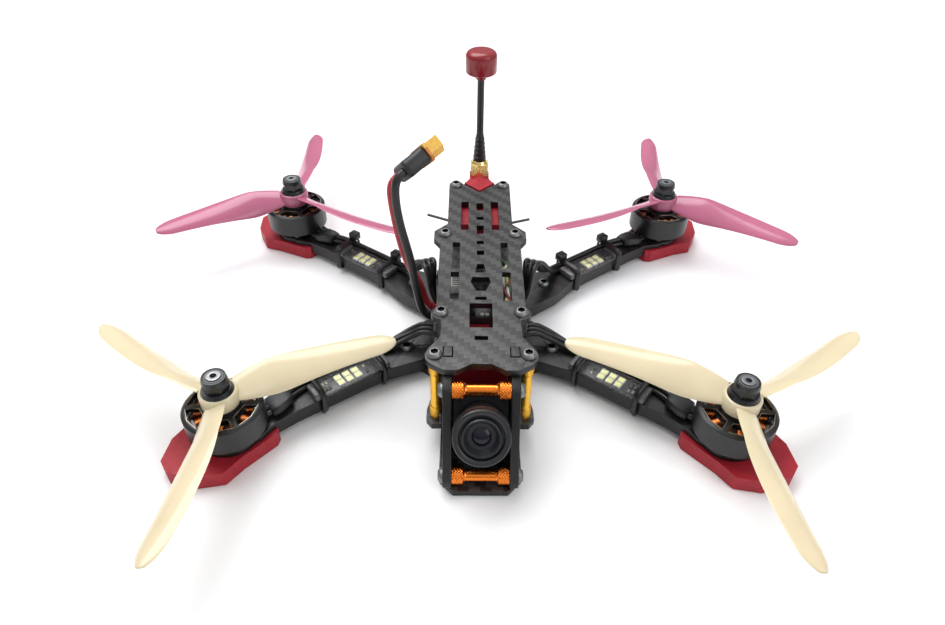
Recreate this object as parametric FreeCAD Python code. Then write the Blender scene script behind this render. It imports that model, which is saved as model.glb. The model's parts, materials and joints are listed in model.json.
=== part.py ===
import FreeCAD, Part
import math
import os

# FPV racing drone, 5-inch class. Millimetres, +Z up, nose towards -Y. Left and right are as seen
# by someone who faces the nose: left is -X. The origin lies on the underside of the bottom plate,
# midway between the four motors.

V = FreeCAD.Vector

# ---- driving dimensions ------------------------------------------------------------------
MOTOR_X = 90.2            # half the spacing of the motors across the drone
MOTOR_Y = 66.8            # half the spacing of the motors along the drone
PROP_R = 65.0             # blade tip radius
BOTTOM_T = 2.5            # bottom plate thickness
ARM_T = 6.0               # arm thickness
MID_T = 2.5               # middle plate thickness
TOP_T = 2.5               # top plate thickness
STANDOFF_L = 27.5         # body standoff length
CAGE_GAP = 20.0           # clear width between the camera side plates
CAGE_T = 3.0              # camera side plate thickness
BELL_R = 14.0             # motor bell radius
SHAFT_R = 2.5             # motor shaft radius
STACK_PITCH = 30.5        # screw spacing of the board stack
STACK_Y = -12.5           # middle of the board stack
CAMERA_TILT = 31.0        # lens elevation at rest, degrees

ARM_Z = BOTTOM_T
ARM_TOP = ARM_Z + ARM_T
MID_TOP = ARM_TOP + MID_T
TOP_Z = MID_TOP + STANDOFF_L
TOP_TOP = TOP_Z + TOP_T
ARM_LENGTH = math.hypot(MOTOR_X, MOTOR_Y)
ARM_ANGLE = math.degrees(math.atan2(MOTOR_Y, MOTOR_X))

# Motor levels, all above the arm's top face.
BASE_T = 2.0
BELL_Z = ARM_TOP + 3.6
BELL_H = 11.4
PROP_Z = BELL_Z + BELL_H
PROP_HUB_H = 6.0
PROP_HUB_R = 6.7
NUT_Z = PROP_Z + PROP_HUB_H
SHAFT_TOP = NUT_Z + 7.0

# M3 fasteners.
SCREW_R = 1.4
HOLE_R = 1.6
HEAD_R = 2.7
HEAD_H = 1.7
HEAD_FLAT_R = 1.7         # flat ring round the socket, on top of the dome

STANDOFFS = (("rear", 10.8, 53.5), ("mid", 14.55, 13.1), ("fore", 14.55, -38.1))
FRONT_STANDOFF = (16.0, -60.4)
ARM_SCREW_T = 36.7        # arm root screw, distance from the centre of the drone

CORNERS = {
    "front_left": (-1, -1, 1),
    "front_right": (1, -1, -1),
    "rear_left": (-1, 1, -1),
    "rear_right": (1, 1, 1),
}                         # side, end, sense of rotation seen from above (1 is anticlockwise)
BLADE_PHASE = {"front_left": 27.4, "front_right": 32.4, "rear_left": 89.4, "rear_right": 86.0}

# Board stack.
ESC_Z = MID_TOP + 4.0     # underside of the speed controller
FC_Z = ESC_Z + 8.5        # underside of the flight controller
BOARD_HALF = 17.0

# Camera cage.
TOP_SPACER = (-70.0, 33.9)
BOTTOM_SPACER = (-84.0, 6.2)
CAMERA_PIVOT = (-68.0, 17.5)
CAMERA_W = 19.0
PIVOT_R = 1.0

# Antenna.
ANTENNA_Y = 69.0
HEX_AF = 8.0
SADDLE_TOP = 38.3         # the antenna connector's seat, just below the top plate's upper face
CONNECTOR_TOP = 46.2

NODES = {}


# ---- shape helpers -----------------------------------------------------------------------
def prism(points, z0, z1):
    corners = [V(x, y, z0) for x, y in points]
    face = Part.Face(Part.makePolygon(corners + corners[:1]))
    return face.extrude(V(0, 0, z1 - z0))


def mirrored_outline(right_side):
    return right_side + [(-x, y) for x, y in reversed(right_side) if x > 0]


def cylinder(r, z0, z1, x=0.0, y=0.0):
    return Part.makeCylinder(r, z1 - z0, V(x, y, z0))


def box(x0, x1, y0, y1, z0, z1):
    return Part.makeBox(x1 - x0, y1 - y0, z1 - z0, V(x0, y0, z0))


def side_cylinder(r, x0, x1, y, z):
    return Part.makeCylinder(r, x1 - x0, V(x0, y, z), V(1, 0, 0))


def fused(shapes):
    whole = shapes[0]
    if len(shapes) > 1:
        whole = shapes[0].multiFuse(shapes[1:])
    return whole.removeSplitter()


def hexagon(across_flats, z0, z1, x=0.0, y=0.0):
    r = across_flats / math.sqrt(3.0)
    turns = [math.radians(a) for a in range(30, 390, 60)]
    return prism([(x + r * math.cos(a), y + r * math.sin(a)) for a in turns], z0, z1)


def spun(shape, degrees, centre=V(0, 0, 0), axis=V(0, 0, 1)):
    turned = shape.copy()
    turned.rotate(centre, axis, degrees)
    return turned


def shifted(shape, x, y, z=0.0):
    moved = shape.copy()
    moved.translate(V(x, y, z))
    return moved


def arm_heading(side, end):
    return math.degrees(math.atan2(end * MOTOR_Y, side * MOTOR_X))


def on_arm(shape, side, end):
    """Turns a shape made along +X from the drone's centre onto an arm."""
    return spun(shape, arm_heading(side, end))


def at_motor(shape, side, end):
    """Turns a shape made round the Z axis, with +X outward along the arm, onto a motor."""
    return shifted(on_arm(shape, side, end), side * MOTOR_X, end * MOTOR_Y)


def rounded_route(points):
    """Straight runs joined by tangent arcs, each as large as its two runs allow."""
    edges = []
    radii = []
    start = points[0]
    for before, corner, after in zip(points, points[1:], points[2:]):
        inward = corner - before
        outward = after - corner
        half_turn = inward.getAngle(outward) / 2.0
        trim = 0.45 * min(inward.Length, outward.Length)
        radii.append(trim / math.tan(half_turn))
        u = V(inward).normalize()
        w = V(outward).normalize()
        arc_start = corner - u * trim
        arc_end = corner + w * trim
        chord_middle = (arc_start + arc_end) * 0.5
        to_corner = V(corner - chord_middle)
        sagitta = radii[-1] * (1.0 - math.cos(half_turn))
        middle = chord_middle + to_corner.normalize() * sagitta
        edges.append(Part.LineSegment(start, arc_start).toShape())
        edges.append(Part.Arc(arc_start, middle, arc_end).toShape())
        start = arc_end
    edges.append(Part.LineSegment(start, points[-1]).toShape())
    return Part.Wire(edges), radii


def routed_tube(name, points, r):
    """A round cord along the route; prints its bend radii and compares its volume."""
    path, radii = rounded_route(points)
    circle = Part.Wire([Part.makeCircle(r, points[0], points[1] - points[0])])
    tube = path.makePipeShell([circle], True, False)
    expected = math.pi * r * r * path.Length
    ratio = tube.Volume / expected
    bends = [round(v, 1) for v in radii]
    print(f"{name}: length {path.Length:.1f}, radii {bends}, volume ratio {ratio:.4f}")
    return tube


def knurled_spacer(end_r, waist_r, length, bore_r):
    """A round spacer along +Z from the origin: thick ends, a slim waist and a through bore."""
    end = length * 0.2
    taper = 1.0
    solids = [
        cylinder(end_r, 0, end),
        Part.makeCone(end_r, waist_r, taper, V(0, 0, end)),
        cylinder(waist_r, end + taper, length - end - taper),
        Part.makeCone(waist_r, end_r, taper, V(0, 0, length - end - taper)),
        cylinder(end_r, length - end, length),
    ]
    return fused(solids).cut(cylinder(bore_r, -1, length + 1))


def button_screw(length):
    """Button-head screw: flat-topped dome with a hexagon socket above z = 0, shank below."""
    centre_z = (HEAD_FLAT_R ** 2 + HEAD_H ** 2 - HEAD_R ** 2) / (2.0 * HEAD_H)
    ball = Part.makeSphere(math.hypot(HEAD_R, centre_z), V(0, 0, centre_z))
    head = ball.common(cylinder(HEAD_R, 0, HEAD_H))
    screw = fused([head, cylinder(SCREW_R, -length, 0.2)])
    return screw.cut(hexagon(2.0, HEAD_H - 1.0, HEAD_H + 1.0))


# ---- frame plates ------------------------------------------------------------------------
def frame_holes():
    """Centres of every vertical body screw."""
    holes = [(s * x, y) for _, x, y in STANDOFFS for s in (-1, 1)]
    holes += [(s * FRONT_STANDOFF[0], FRONT_STANDOFF[1]) for s in (-1, 1)]
    return holes


def stack_holes():
    half = STACK_PITCH / 2.0
    return [(sx * half, STACK_Y + sy * half) for sx in (-1, 1) for sy in (-1, 1)]


def drilled(plate, centres, r, z0, z1):
    for x, y in centres:
        plate = plate.cut(cylinder(r, z0 - 1, z1 + 1, x, y))
    return plate


def arm_screw_centre(side, end):
    a = math.radians(ARM_ANGLE)
    return side * ARM_SCREW_T * math.cos(a), end * ARM_SCREW_T * math.sin(a)


def make_top_plate():
    z0, z1 = TOP_Z, TOP_TOP
    side = [
        (0.0, 47.6), (7.5, 55.0), (8.6, 56.6), (12.6, 56.6), (13.9, 55.3), (13.8, 21.0),
        (19.2, 15.2), (19.2, 9.6), (16.5, 5.2), (16.5, -32.8), (14.4, -43.5), (14.4, -51.0),
        (18.6, -57.6), (19.4, -60.2), (19.0, -62.9), (17.4, -64.8), (13.0, -67.7), (8.2, -67.9),
        (3.4, -64.8), (0.0, -64.8),
    ]
    plate = prism(mirrored_outline(side), z0, z1)
    fore_x, fore_y = STANDOFFS[2][1:]
    plate = fused([plate] + [cylinder(3.7, z0, z1, s * fore_x, fore_y) for s in (-1, 1)])
    cuts = [
        box(-1.4, 1.5, 32.0, 38.0, z0 - 1, z1 + 1), box(-1.4, 1.5, 24.4, 26.7, z0 - 1, z1 + 1),
        box(-1.4, 1.5, 13.6, 19.8, z0 - 1, z1 + 1), box(-1.4, 1.5, 6.0, 8.3, z0 - 1, z1 + 1),
        box(-1.4, 1.5, -1.7, 1.3, z0 - 1, z1 + 1), box(-2.1, 2.1, -30.5, -28.8, z0 - 1, z1 + 1),
        box(-4.2, 4.1, -46.1, -32.7, z0 - 1, z1 + 1), box(-2.3, 2.3, -52.7, -50.8, z0 - 1, z1 + 1),
        prism([(-1.3, -8.0), (1.3, -8.0), (2.1, -13.4), (-2.1, -13.4)], z0 - 1, z1 + 1),
        prism([(-3.2, -16.6), (3.2, -16.6), (3.8, -19.5), (1.7, -25.3), (-1.7, -25.3), (-3.8, -19.5)],
              z0 - 1, z1 + 1),
    ]
    side_slots = [
        (4.9, 8.1, 16.6, 39.1), (8.3, 11.2, -10.8, 7.0), (8.4, 11.6, -31.0, -13.3),
        (9.8, 13.2, -61.5, -56.2),
    ]
    for s in (-1, 1):
        for x0, x1, y0, y1 in side_slots:
            low, high = sorted((s * x0, s * x1))
            cuts.append(box(low, high, y0, y1, z0 - 1, z1 + 1))
    for cut in cuts:
        plate = plate.cut(cut)
    return drilled(plate, frame_holes(), HOLE_R, z0, z1)


def make_mid_plate():
    z0, z1 = ARM_TOP, MID_TOP
    side = [
        (0.0, 56.6), (12.6, 56.6), (13.9, 55.3), (13.8, 21.0), (17.6, 16.0), (18.4, 9.6),
        (18.4, -32.0), (18.4, -52.0), (19.6, -58.0), (19.6, -62.6), (17.6, -65.2), (13.4, -65.2),
        (13.4, -49.0), (0.0, -49.0),
    ]
    plate = prism(mirrored_outline(side), z0, z1)
    plate = drilled(plate, stack_holes(), HOLE_R, z0, z1)
    return drilled(plate, frame_holes(), HOLE_R, z0, z1)


def make_bottom_plate():
    z0, z1 = 0.0, BOTTOM_T
    side = [
        (0.0, 52.0), (9.0, 52.0), (12.0, 46.0), (14.0, 30.0), (24.0, 27.0), (33.5, 27.5),
        (36.0, 23.5), (33.0, 17.0), (21.0, 5.0), (21.0, -5.0), (33.0, -17.0), (36.0, -23.5),
        (33.5, -27.5), (24.0, -27.0), (14.5, -34.0), (14.5, -82.5), (9.5, -88.0), (0.0, -88.0),
    ]
    plate = prism(mirrored_outline(side), z0, z1)
    holes = [arm_screw_centre(s, e) for s in (-1, 1) for e in (-1, 1)]
    holes += [(s * STANDOFFS[1][1], STANDOFFS[1][2]) for s in (-1, 1)]
    return drilled(plate, holes, HOLE_R, z0, z1)


def make_arm(side, end):
    z0, z1 = ARM_Z, ARM_TOP
    root = [(4.0, 0.0), (6.0, 4.0), (18.0, 10.0), (36.0, 9.6), (42.0, 8.2), (50.0, 6.2), (60.0, 5.8)]
    neck_t = ARM_LENGTH - 15.0
    outline = root + [(neck_t - 8.0, 5.6), (neck_t, 6.2), (neck_t + 7.0, 9.0), (ARM_LENGTH, 9.0)]
    lower = [(t, -n) for t, n in reversed(outline) if n > 0]
    arm = prism(outline + lower, z0, z1)
    arm = fused([arm, cylinder(10.5, z0, z1, ARM_LENGTH)])
    arm = arm.cut(cylinder(3.6, z0 - 1, z1 + 1, ARM_LENGTH))
    for t, n in motor_screw_centres():
        arm = arm.cut(cylinder(HOLE_R, z0 - 1, z1 + 1, ARM_LENGTH + t, n))
    arm = on_arm(arm, side, end)
    seam = 0.1
    far = 200.0
    x0, x1 = sorted((side * seam, side * far))
    y0, y1 = sorted((end * seam, end * far))
    arm = arm.common(box(x0, x1, y0, y1, z0 - 1, z1 + 1))
    holes = frame_holes() + [arm_screw_centre(side, end)]
    return drilled(arm, holes, HOLE_R, z0, z1)


def make_camera_plate(side):
    """Side plate of the camera cage; the profile is in Y and Z."""
    profile = [
        (-50.0, BOTTOM_T), (-86.6, BOTTOM_T), (-87.6, 4.0), (-87.6, 7.5), (-73.0, 35.3),
        (-71.6, 36.6), (-66.0, TOP_Z), (-61.3, TOP_Z), (-61.3, TOP_TOP + 0.3),
        (-56.4, TOP_TOP + 0.3), (-56.4, TOP_Z), (-53.0, TOP_Z),
    ]
    inner = CAGE_GAP / 2.0
    x0 = inner if side > 0 else -inner - CAGE_T
    corners = [V(x0, y, z) for y, z in profile]
    plate = Part.Face(Part.makePolygon(corners + corners[:1])).extrude(V(CAGE_T, 0, 0))
    for y, z in (TOP_SPACER, BOTTOM_SPACER):
        plate = plate.cut(side_cylinder(HOLE_R, x0 - 1, x0 + CAGE_T + 1, y, z))
    plate = plate.cut(side_cylinder(PIVOT_R + 0.06, x0 - 1, x0 + CAGE_T + 1, *CAMERA_PIVOT))
    return plate.cut(side_cylinder(3.5, x0 - 1, x0 + CAGE_T + 1, -58.0, 27.0))


def make_camera_spacers():
    spacer = knurled_spacer(3.1, 2.05, CAGE_GAP, 1.5)
    across = spun(spacer, 90.0, axis=V(0, 1, 0))
    placed = [shifted(across, -CAGE_GAP / 2.0, y, z) for y, z in (TOP_SPACER, BOTTOM_SPACER)]
    return Part.makeCompound(placed)


def make_front_standoffs():
    x, y = FRONT_STANDOFF
    post = knurled_spacer(2.35, 1.9, STANDOFF_L, 1.5)
    return Part.makeCompound([shifted(post, s * x, y, MID_TOP) for s in (-1, 1)])


def make_body_standoffs():
    post = knurled_spacer(2.6, 1.9, STANDOFF_L, 1.5)
    feet = [(s * x, y) for _, x, y in STANDOFFS for s in (-1, 1)]
    return Part.makeCompound([shifted(post, x, y, MID_TOP) for x, y in feet])


def motor_screw_centres():
    """Four screws on a 16 mm circle, at 45 degrees to the arm."""
    r = 8.0 * math.cos(math.radians(45.0))
    return [(a * r, b * r) for a in (-1, 1) for b in (-1, 1)]


def make_frame_screws():
    long_screw = button_screw(TOP_T + 6.0)
    screws = [shifted(long_screw, x, y, TOP_TOP) for x, y in frame_holes()]
    arm_screw = button_screw(ARM_T + BOTTOM_T)
    for side, end, _ in CORNERS.values():
        x, y = arm_screw_centre(side, end)
        screws.append(shifted(arm_screw, x, y, ARM_TOP))
    side_screw = button_screw(CAGE_T + 4.0)
    for y, z in (TOP_SPACER, BOTTOM_SPACER):
        for s in (-1, 1):
            turned = spun(side_screw, s * 90.0, axis=V(0, 1, 0))
            screws.append(shifted(turned, s * (CAGE_GAP / 2.0 + CAGE_T), y, z))
    under = spun(button_screw(ARM_T + 1.5), 180.0, axis=V(1, 0, 0))
    for side, end, _ in CORNERS.values():
        for t, n in motor_screw_centres():
            screws.append(at_motor(shifted(under, t, n, ARM_Z), side, end))
    rise = spun(button_screw(MID_T + 6.0), 180.0, axis=V(1, 0, 0))
    for s in (-1, 1):
        screws.append(shifted(rise, s * FRONT_STANDOFF[0], FRONT_STANDOFF[1], ARM_TOP))
    return Part.makeCompound(screws)


def make_motor_guard(side, end):
    """Soft faceted shoe round the arm's end, with a pocket for the arm and screw wells."""
    height = 6.3
    half = [(24.6, 3.0), (18.0, 10.6), (9.1, 14.9), (1.3, 12.2), (-13.0, 9.2), (-15.0, 7.2)]
    outline = half + [(s, -n) for s, n in reversed(half)]
    guard = prism(outline, 0, height)
    guard = at_motor(guard, side, end)
    pocket = make_arm_pocket(side, end)
    guard = guard.cut(pocket)
    for t, n in motor_screw_centres():
        guard = guard.cut(at_motor(cylinder(HEAD_R + 0.5, -1, ARM_Z + 1, t, n), side, end))
    return guard.cut(at_motor(cylinder(3.6, -1, ARM_Z + 1), side, end))


def make_arm_pocket(side, end):
    """The arm's end with a hair of clearance all round, taken up past the guard's rim."""
    gap = 0.05
    pad = cylinder(10.5 + gap, ARM_Z, 20.0, ARM_LENGTH)
    neck_t = ARM_LENGTH - 15.0
    half = [
        (neck_t - 8.0, 5.6 + gap), (neck_t, 6.2 + gap), (neck_t + 7.0, 9.0 + gap),
        (ARM_LENGTH, 9.0 + gap),
    ]
    lower = [(t, -n) for t, n in reversed(half)]
    return on_arm(fused([pad, prism(half + lower, ARM_Z, 20.0)]), side, end)


# ---- motors and propellers ---------------------------------------------------------------
def make_motor_base(side, end):
    """Foot, bearing tube and screw bosses of one motor."""
    foot = cylinder(6.5, ARM_TOP, ARM_TOP + BASE_T)
    parts = [foot, cylinder(5.5, ARM_TOP, BELL_Z + 8.0)]
    for t, n in motor_screw_centres():
        parts.append(cylinder(2.6, ARM_TOP, ARM_TOP + BASE_T, t, n))
    base = fused(parts)
    base = base.cut(cylinder(4.52, ARM_TOP + 0.8, BELL_Z + 9))
    base = base.cut(cylinder(3.0, ARM_TOP - 1, ARM_TOP + 1))
    for t, n in motor_screw_centres():
        base = base.cut(cylinder(SCREW_R + 0.05, ARM_TOP - 1, ARM_TOP + 1.6, t, n))
    return at_motor(base, side, end)


def make_stator_cores():
    """Laminated cores: a ring and twelve flared teeth on each motor."""
    z0, z1 = BELL_Z + 1.2, BELL_Z + 7.2
    ring = cylinder(7.4, z0, z1).cut(cylinder(5.55, z0 - 1, z1 + 1))
    parts = [ring]
    for i in range(12):
        stem = box(7.0, 10.8, -0.7, 0.7, z0, z1)
        shoe = box(10.4, 11.3, -2.0, 2.0, z0, z1)
        parts.append(spun(fused([stem, shoe]), 30.0 * i))
    core = fused(parts).common(cylinder(11.3, z0, z1))
    return Part.makeCompound([at_motor(core, side, end) for side, end, _ in CORNERS.values()])


def make_windings():
    """Copper coils, one round each tooth."""
    z0, z1 = BELL_Z + 1.2, BELL_Z + 7.2
    outer = box(7.7, 10.3, -1.65, 1.65, z0 - 0.9, z1 + 0.9)
    coil = outer.cut(box(7.0, 11.0, -0.75, 0.75, z0 - 0.05, z1 + 0.05))
    coils = []
    for side, end, _ in CORNERS.values():
        coils += [at_motor(spun(coil, 30.0 * i), side, end) for i in range(12)]
    return Part.makeCompound(coils)


def make_motor_bearings():
    ring = Part.makeCompound([
        cylinder(4.5, z, z + 2.5).cut(cylinder(SHAFT_R + 0.04, z - 1, z + 4))
        for z in (ARM_TOP + 0.9, BELL_Z + 5.4)
    ])
    return Part.makeCompound([at_motor(ring, side, end) for side, end, _ in CORNERS.values()])


def make_bell(side, end):
    """Rotor can: flux ring, window spokes and the raised propeller seat."""
    can = cylinder(BELL_R, BELL_Z, BELL_Z + 8.4).cut(cylinder(BELL_R - 1.6, BELL_Z - 1, BELL_Z + 10))
    roof = fused([
        cylinder(BELL_R, BELL_Z + 8.4, BELL_Z + 9.2),
        Part.makeCone(BELL_R, BELL_R - 1.2, 0.8, V(0, 0, BELL_Z + 9.2)),
    ])
    seat = cylinder(6.4, BELL_Z + 8.7, PROP_Z)
    bell = fused([can, roof, seat])
    for i in range(6):
        corners = [(7.0, -3.1), (11.3, -5.5), (12.6, 0.0), (11.3, 5.5), (7.0, 3.1)]
        window = prism(corners, BELL_Z + 8, PROP_Z)
        bell = bell.cut(spun(window, 60.0 * i))
    bell = bell.cut(cylinder(SHAFT_R, BELL_Z - 1, PROP_Z + 1))
    return at_motor(bell, side, end)


def make_shaft(side, end):
    shaft = cylinder(SHAFT_R, ARM_TOP + 0.9, SHAFT_TOP)
    shaft = shaft.cut(cylinder(1.1, SHAFT_TOP - 3, SHAFT_TOP + 1))
    return at_motor(shaft, side, end)


TIP_ROUND_R = 57.0        # radius where the blade tip starts to round off
AIRFOIL = ((0.5, 0.1), (0.2, 0.5), (-0.25, 0.42), (-0.5, 0.1), (-0.25, -0.42), (0.2, -0.5))


def blade_section(r, sense):
    """Flattened hexagon across the blade at radius r: trailing edge low, leading edge high."""
    grow = min(1.0, (r - 4.0) / 16.0)
    fade = max(0.0, (r - 20.0) / (PROP_R - 20.0))
    rounding = max(0.0, (r - TIP_ROUND_R) / (PROP_R + 0.4 - TIP_ROUND_R))
    chord = (8.0 + 6.0 * grow) * (1.0 - 0.42 * fade) * math.sqrt(1.0 - rounding ** 2)
    pitch = math.atan(100.0 / (2.0 * math.pi * max(r, 19.0))) * (0.62 + 0.38 * grow)
    thick = 2.6 - 1.5 * min(1.0, r / 40.0)
    sweep = 1.5 * math.sin(math.pi * min(1.0, r / PROP_R)) - 1.0 * fade ** 2
    points = []
    for along, up in AIRFOIL:
        ahead = along * chord
        lift = up * thick
        across = ahead * math.cos(pitch) - lift * math.sin(pitch) + sweep
        height = ahead * math.sin(pitch) + lift * math.cos(pitch)
        points.append(V(r, sense * across, PROP_Z + 3.4 + height))
    return Part.makePolygon(points + points[:1])


def make_propeller(name, side, end, sense):
    hub = cylinder(PROP_HUB_R, PROP_Z, NUT_Z)
    stations = (4.5, 10.0, 16.0, 24.0, 34.0, 44.0, 54.0, 60.0, 63.0, 64.4, PROP_R)
    blade = Part.makeLoft([blade_section(r, sense) for r in stations], True, True)
    blades = [spun(blade, 120.0 * i) for i in range(3)]
    prop = fused([hub] + blades)
    prop = prop.cut(cylinder(SHAFT_R + 0.02, PROP_Z - 4, NUT_Z + 4))
    prop = prop.cut(cylinder(15.0, BELL_Z, PROP_Z))
    prop = spun(prop, BLADE_PHASE[name])
    return shifted(prop, side * MOTOR_X, end * MOTOR_Y)


def make_prop_nut(side, end):
    """Flanged lock nut with a domed collar."""
    flange = Part.makeCone(5.7, 5.0, 1.6, V(0, 0, NUT_Z))
    body = hexagon(8.0, NUT_Z, NUT_Z + 4.6)
    collar = Part.makeCone(4.5, 4.1, 1.9, V(0, 0, NUT_Z + 4.6))
    nut = fused([flange, body, collar]).cut(cylinder(SHAFT_R + 0.02, NUT_Z - 1, NUT_Z + 9))
    return at_motor(nut, side, end)


# ---- things strapped to the arms ---------------------------------------------------------
WIRE_R = 1.05
LED_T0, LED_T1 = 49.0, 80.0
LED_SHIFT = 2.0           # the light board sits towards the nose on each arm
TIE_T = (51.5, 78.0)


def nose_side(side, end):
    """Sign of the arm's lateral direction that points to the nose."""
    a = math.radians(arm_heading(side, end))
    return -1.0 if math.cos(a) > 0 else 1.0


def make_led_boards():
    boards = []
    for side, end, _ in CORNERS.values():
        low = nose_side(side, end) * LED_SHIFT
        board = box(LED_T0, LED_T1, low - 3.7, low + 3.7, ARM_TOP, ARM_TOP + 1.2)
        lamps = []
        for i in range(3):
            for row in (-1, 1):
                t = 60.0 + 3.7 * i
                n = low + row * 1.45
                lamps.append(box(t, t + 2.9, n - 1.3, n + 1.3, ARM_TOP + 1.1, ARM_TOP + 1.9))
        boards.append(on_arm(fused([board] + lamps), side, end))
    return Part.makeCompound(boards)


def make_cable_ties():
    """Two loops per arm round the arm, the wires and the light board, each with a head."""
    ties = []
    for side, end, _ in CORNERS.values():
        nose = nose_side(side, end)
        for t in TIE_T:
            outer = box(t - 1.3, t + 1.3, -7.6, 7.6, ARM_Z - 1.2, ARM_TOP + 5.2)
            inner = box(t - 2.0, t + 2.0, -6.6, 6.6, ARM_Z - 0.2, ARM_TOP + 4.2)
            head = box(t - 2.2, t + 2.2, -2.0, 2.0, ARM_TOP + 5.2, ARM_TOP + 8.4)
            head = shifted(head, 0, -nose * 5.0)
            ties.append(on_arm(fused([outer.cut(inner), head]), side, end))
    return Part.makeCompound(ties)


def arm_point(side, end, t, n, z):
    """A point given along the arm, sideways towards the nose, and above the floor."""
    a = math.radians(arm_heading(side, end))
    n = n * nose_side(side, end)
    return V(t * math.cos(a) - n * math.sin(a), t * math.sin(a) + n * math.cos(a), z)


def front_rise(side, i):
    """Where wire i of a front motor climbs from its arm to the edge of the speed controller."""
    spread = -2.5 * (i - 1)
    return [
        V(side * 29.0, -18.5 + spread, ARM_TOP + 4.5),
        V(side * 22.8, -18.8 + spread, ESC_Z + 2.0),
        V(side * 17.4, -19.5 + spread, ESC_Z + 0.8),
    ]


def rear_rise(side, i):
    """Where wire i of a rear motor arches up beside the body and down to the speed controller."""
    outward = 2.3 * (i - 1)
    return [
        V(side * (29.5 + outward), 19.5, ARM_TOP + 9.0),
        V(side * (25.0 + outward), 12.4, ESC_Z + 12.0),
        V(side * (22.2 + 0.95 * outward), 8.5 - (i - 1), ESC_Z + 15.8),
        V(side * (20.9 + 0.8 * outward), 4.6 - 1.7 * (i - 1), ESC_Z + 16.3),
        V(side * (20.3 + 0.5 * outward), 2.2 - 2.2 * (i - 1), ESC_Z + 13.0),
        V(side * (20.1 + 0.3 * outward), 1.2 - 2.5 * (i - 1), ESC_Z + 7.5),
        V(side * (18.9 - 0.6 * (i - 1)), 0.4 - 2.9 * (i - 1), ESC_Z + 0.8),
    ]


def make_motor_wires():
    """Three leads per motor from under the bell, along the arm and up to the speed controller."""
    low = ARM_TOP + WIRE_R + 0.05
    high = low + 2.0 * WIRE_R * 0.87 + 0.05
    lanes = ((-5.0, low), (-3.92, high), (-2.85, low))
    solids = []
    for name, (side, end, _) in CORNERS.items():
        for i, (n, z) in enumerate(lanes):
            fan = 2.3 * (i - 1)
            lift = 3.4 if i == 1 else 2.2
            points = [
                arm_point(side, end, ARM_LENGTH - 12.5, fan, ARM_TOP + 1.9),
                arm_point(side, end, ARM_LENGTH - 19.0, fan, ARM_TOP + lift),
                arm_point(side, end, 84.0, n, z),
                arm_point(side, end, 66.0, n * 1.02, z),
                arm_point(side, end, 46.0, n, z + 0.2),
            ]
            points += front_rise(side, i) if end < 0 else rear_rise(side, i)
            solids.append(routed_tube(f"motor_wires {name} {i}", points, WIRE_R))
    return Part.makeCompound(solids)


# ---- electronics -------------------------------------------------------------------------
def circuit_board(z):
    corner = 3.0
    h = BOARD_HALF
    outline = [(h, -h + corner), (h, h - corner), (h - corner, h), (-h + corner, h), (-h, h - corner),
               (-h, -h + corner), (-h + corner, -h), (h - corner, -h)]
    board = shifted(prism(outline, z, z + 1.6), 0, STACK_Y)
    return drilled(board, stack_holes(), 2.0, z, z + 1.6)


def make_esc_board():
    z = ESC_Z
    parts = [circuit_board(z)]
    for sx in (-1, 1):
        for i in range(4):
            x = sx * 9.5
            y = STACK_Y + (i - 1.5) * 6.0
            parts.append(box(x - 2.5, x + 2.5, y - 2.5, y + 2.5, z + 1.5, z + 2.6))
    parts.append(box(-4, 4, STACK_Y - 9, STACK_Y + 9, z + 1.5, z + 3.0))
    return fused(parts)


def make_flight_controller():
    z = FC_Z
    parts = [circuit_board(z), box(-5, 5, STACK_Y - 5, STACK_Y + 5, z + 1.5, z + 2.8)]
    for y in (-25.5, -18.5, -4.0):
        parts.append(box(-12.2, -7.8, y - 2.8, y + 2.8, z + 1.5, z + 5.6))
    parts.append(box(12.0, 16.9, STACK_Y - 4.5, STACK_Y + 4.5, z + 1.5, z + 4.7))
    return fused(parts)


def make_stack_hardware():
    """Stack screws from below the middle plate, rubber grommets and nuts."""
    solids = []
    for x, y in stack_holes():
        shank = cylinder(SCREW_R, MID_TOP - 2.4, FC_Z + 5.4, x, y)
        solids.append(fused([shank, cylinder(2.6, MID_TOP, MID_TOP + 1.0, x, y)]))
        for z in (ESC_Z, FC_Z):
            grommet = fused([
                cylinder(2.9, z - 2.0, z - 0.02, x, y), cylinder(1.95, z - 0.5, z + 2.0, x, y),
                cylinder(2.9, z + 1.62, z + 3.2, x, y),
            ])
            solids.append(grommet.cut(cylinder(SCREW_R + 0.03, z - 3, z + 4, x, y)))
        nut = hexagon(5.4, FC_Z + 3.25, FC_Z + 5.0, x, y)
        solids.append(nut.cut(cylinder(SCREW_R + 0.03, FC_Z, FC_Z + 8, x, y)))
    return Part.makeCompound(solids)


def make_video_transmitter():
    body = box(-7.2, 7.2, -31.4, -14.5, 28.2, 33.0)
    fins = [box(-6.2, 6.2, -22.5 + 2.4 * i, -21.5 + 2.4 * i, 32.9, 33.8) for i in range(3)]
    socket = box(-5.5, -1.5, -14.6, -12.0, 29.0, 32.0)
    return fused([body] + fins + [socket])


def make_vtx_bed():
    """Soft tray before and under the video transmitter, with a tongue behind the camera."""
    return fused([
        box(-16.3, 16.3, -48.8, -43.0, 20.0, 25.9), box(-11.2, 11.2, -43.5, -31.6, 20.0, 25.9),
        box(-9.6, 9.6, -56.5, -48.0, 20.0, 30.0), box(-7.2, 3.5, -36.2, -31.6, 20.0, 29.9),
        box(-7.2, 7.2, -34.0, -16.0, 27.0, 28.15), box(-7.2, 7.2, -34.0, -31.6, 20.0, 28.15),
    ])


def make_receiver():
    board = box(-6.0, 6.0, 6.5, 20.5, MID_TOP, MID_TOP + 1.4)
    return fused([board, box(-3.5, 3.5, 9.0, 16.0, MID_TOP + 1.3, MID_TOP + 3.2)])


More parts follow.
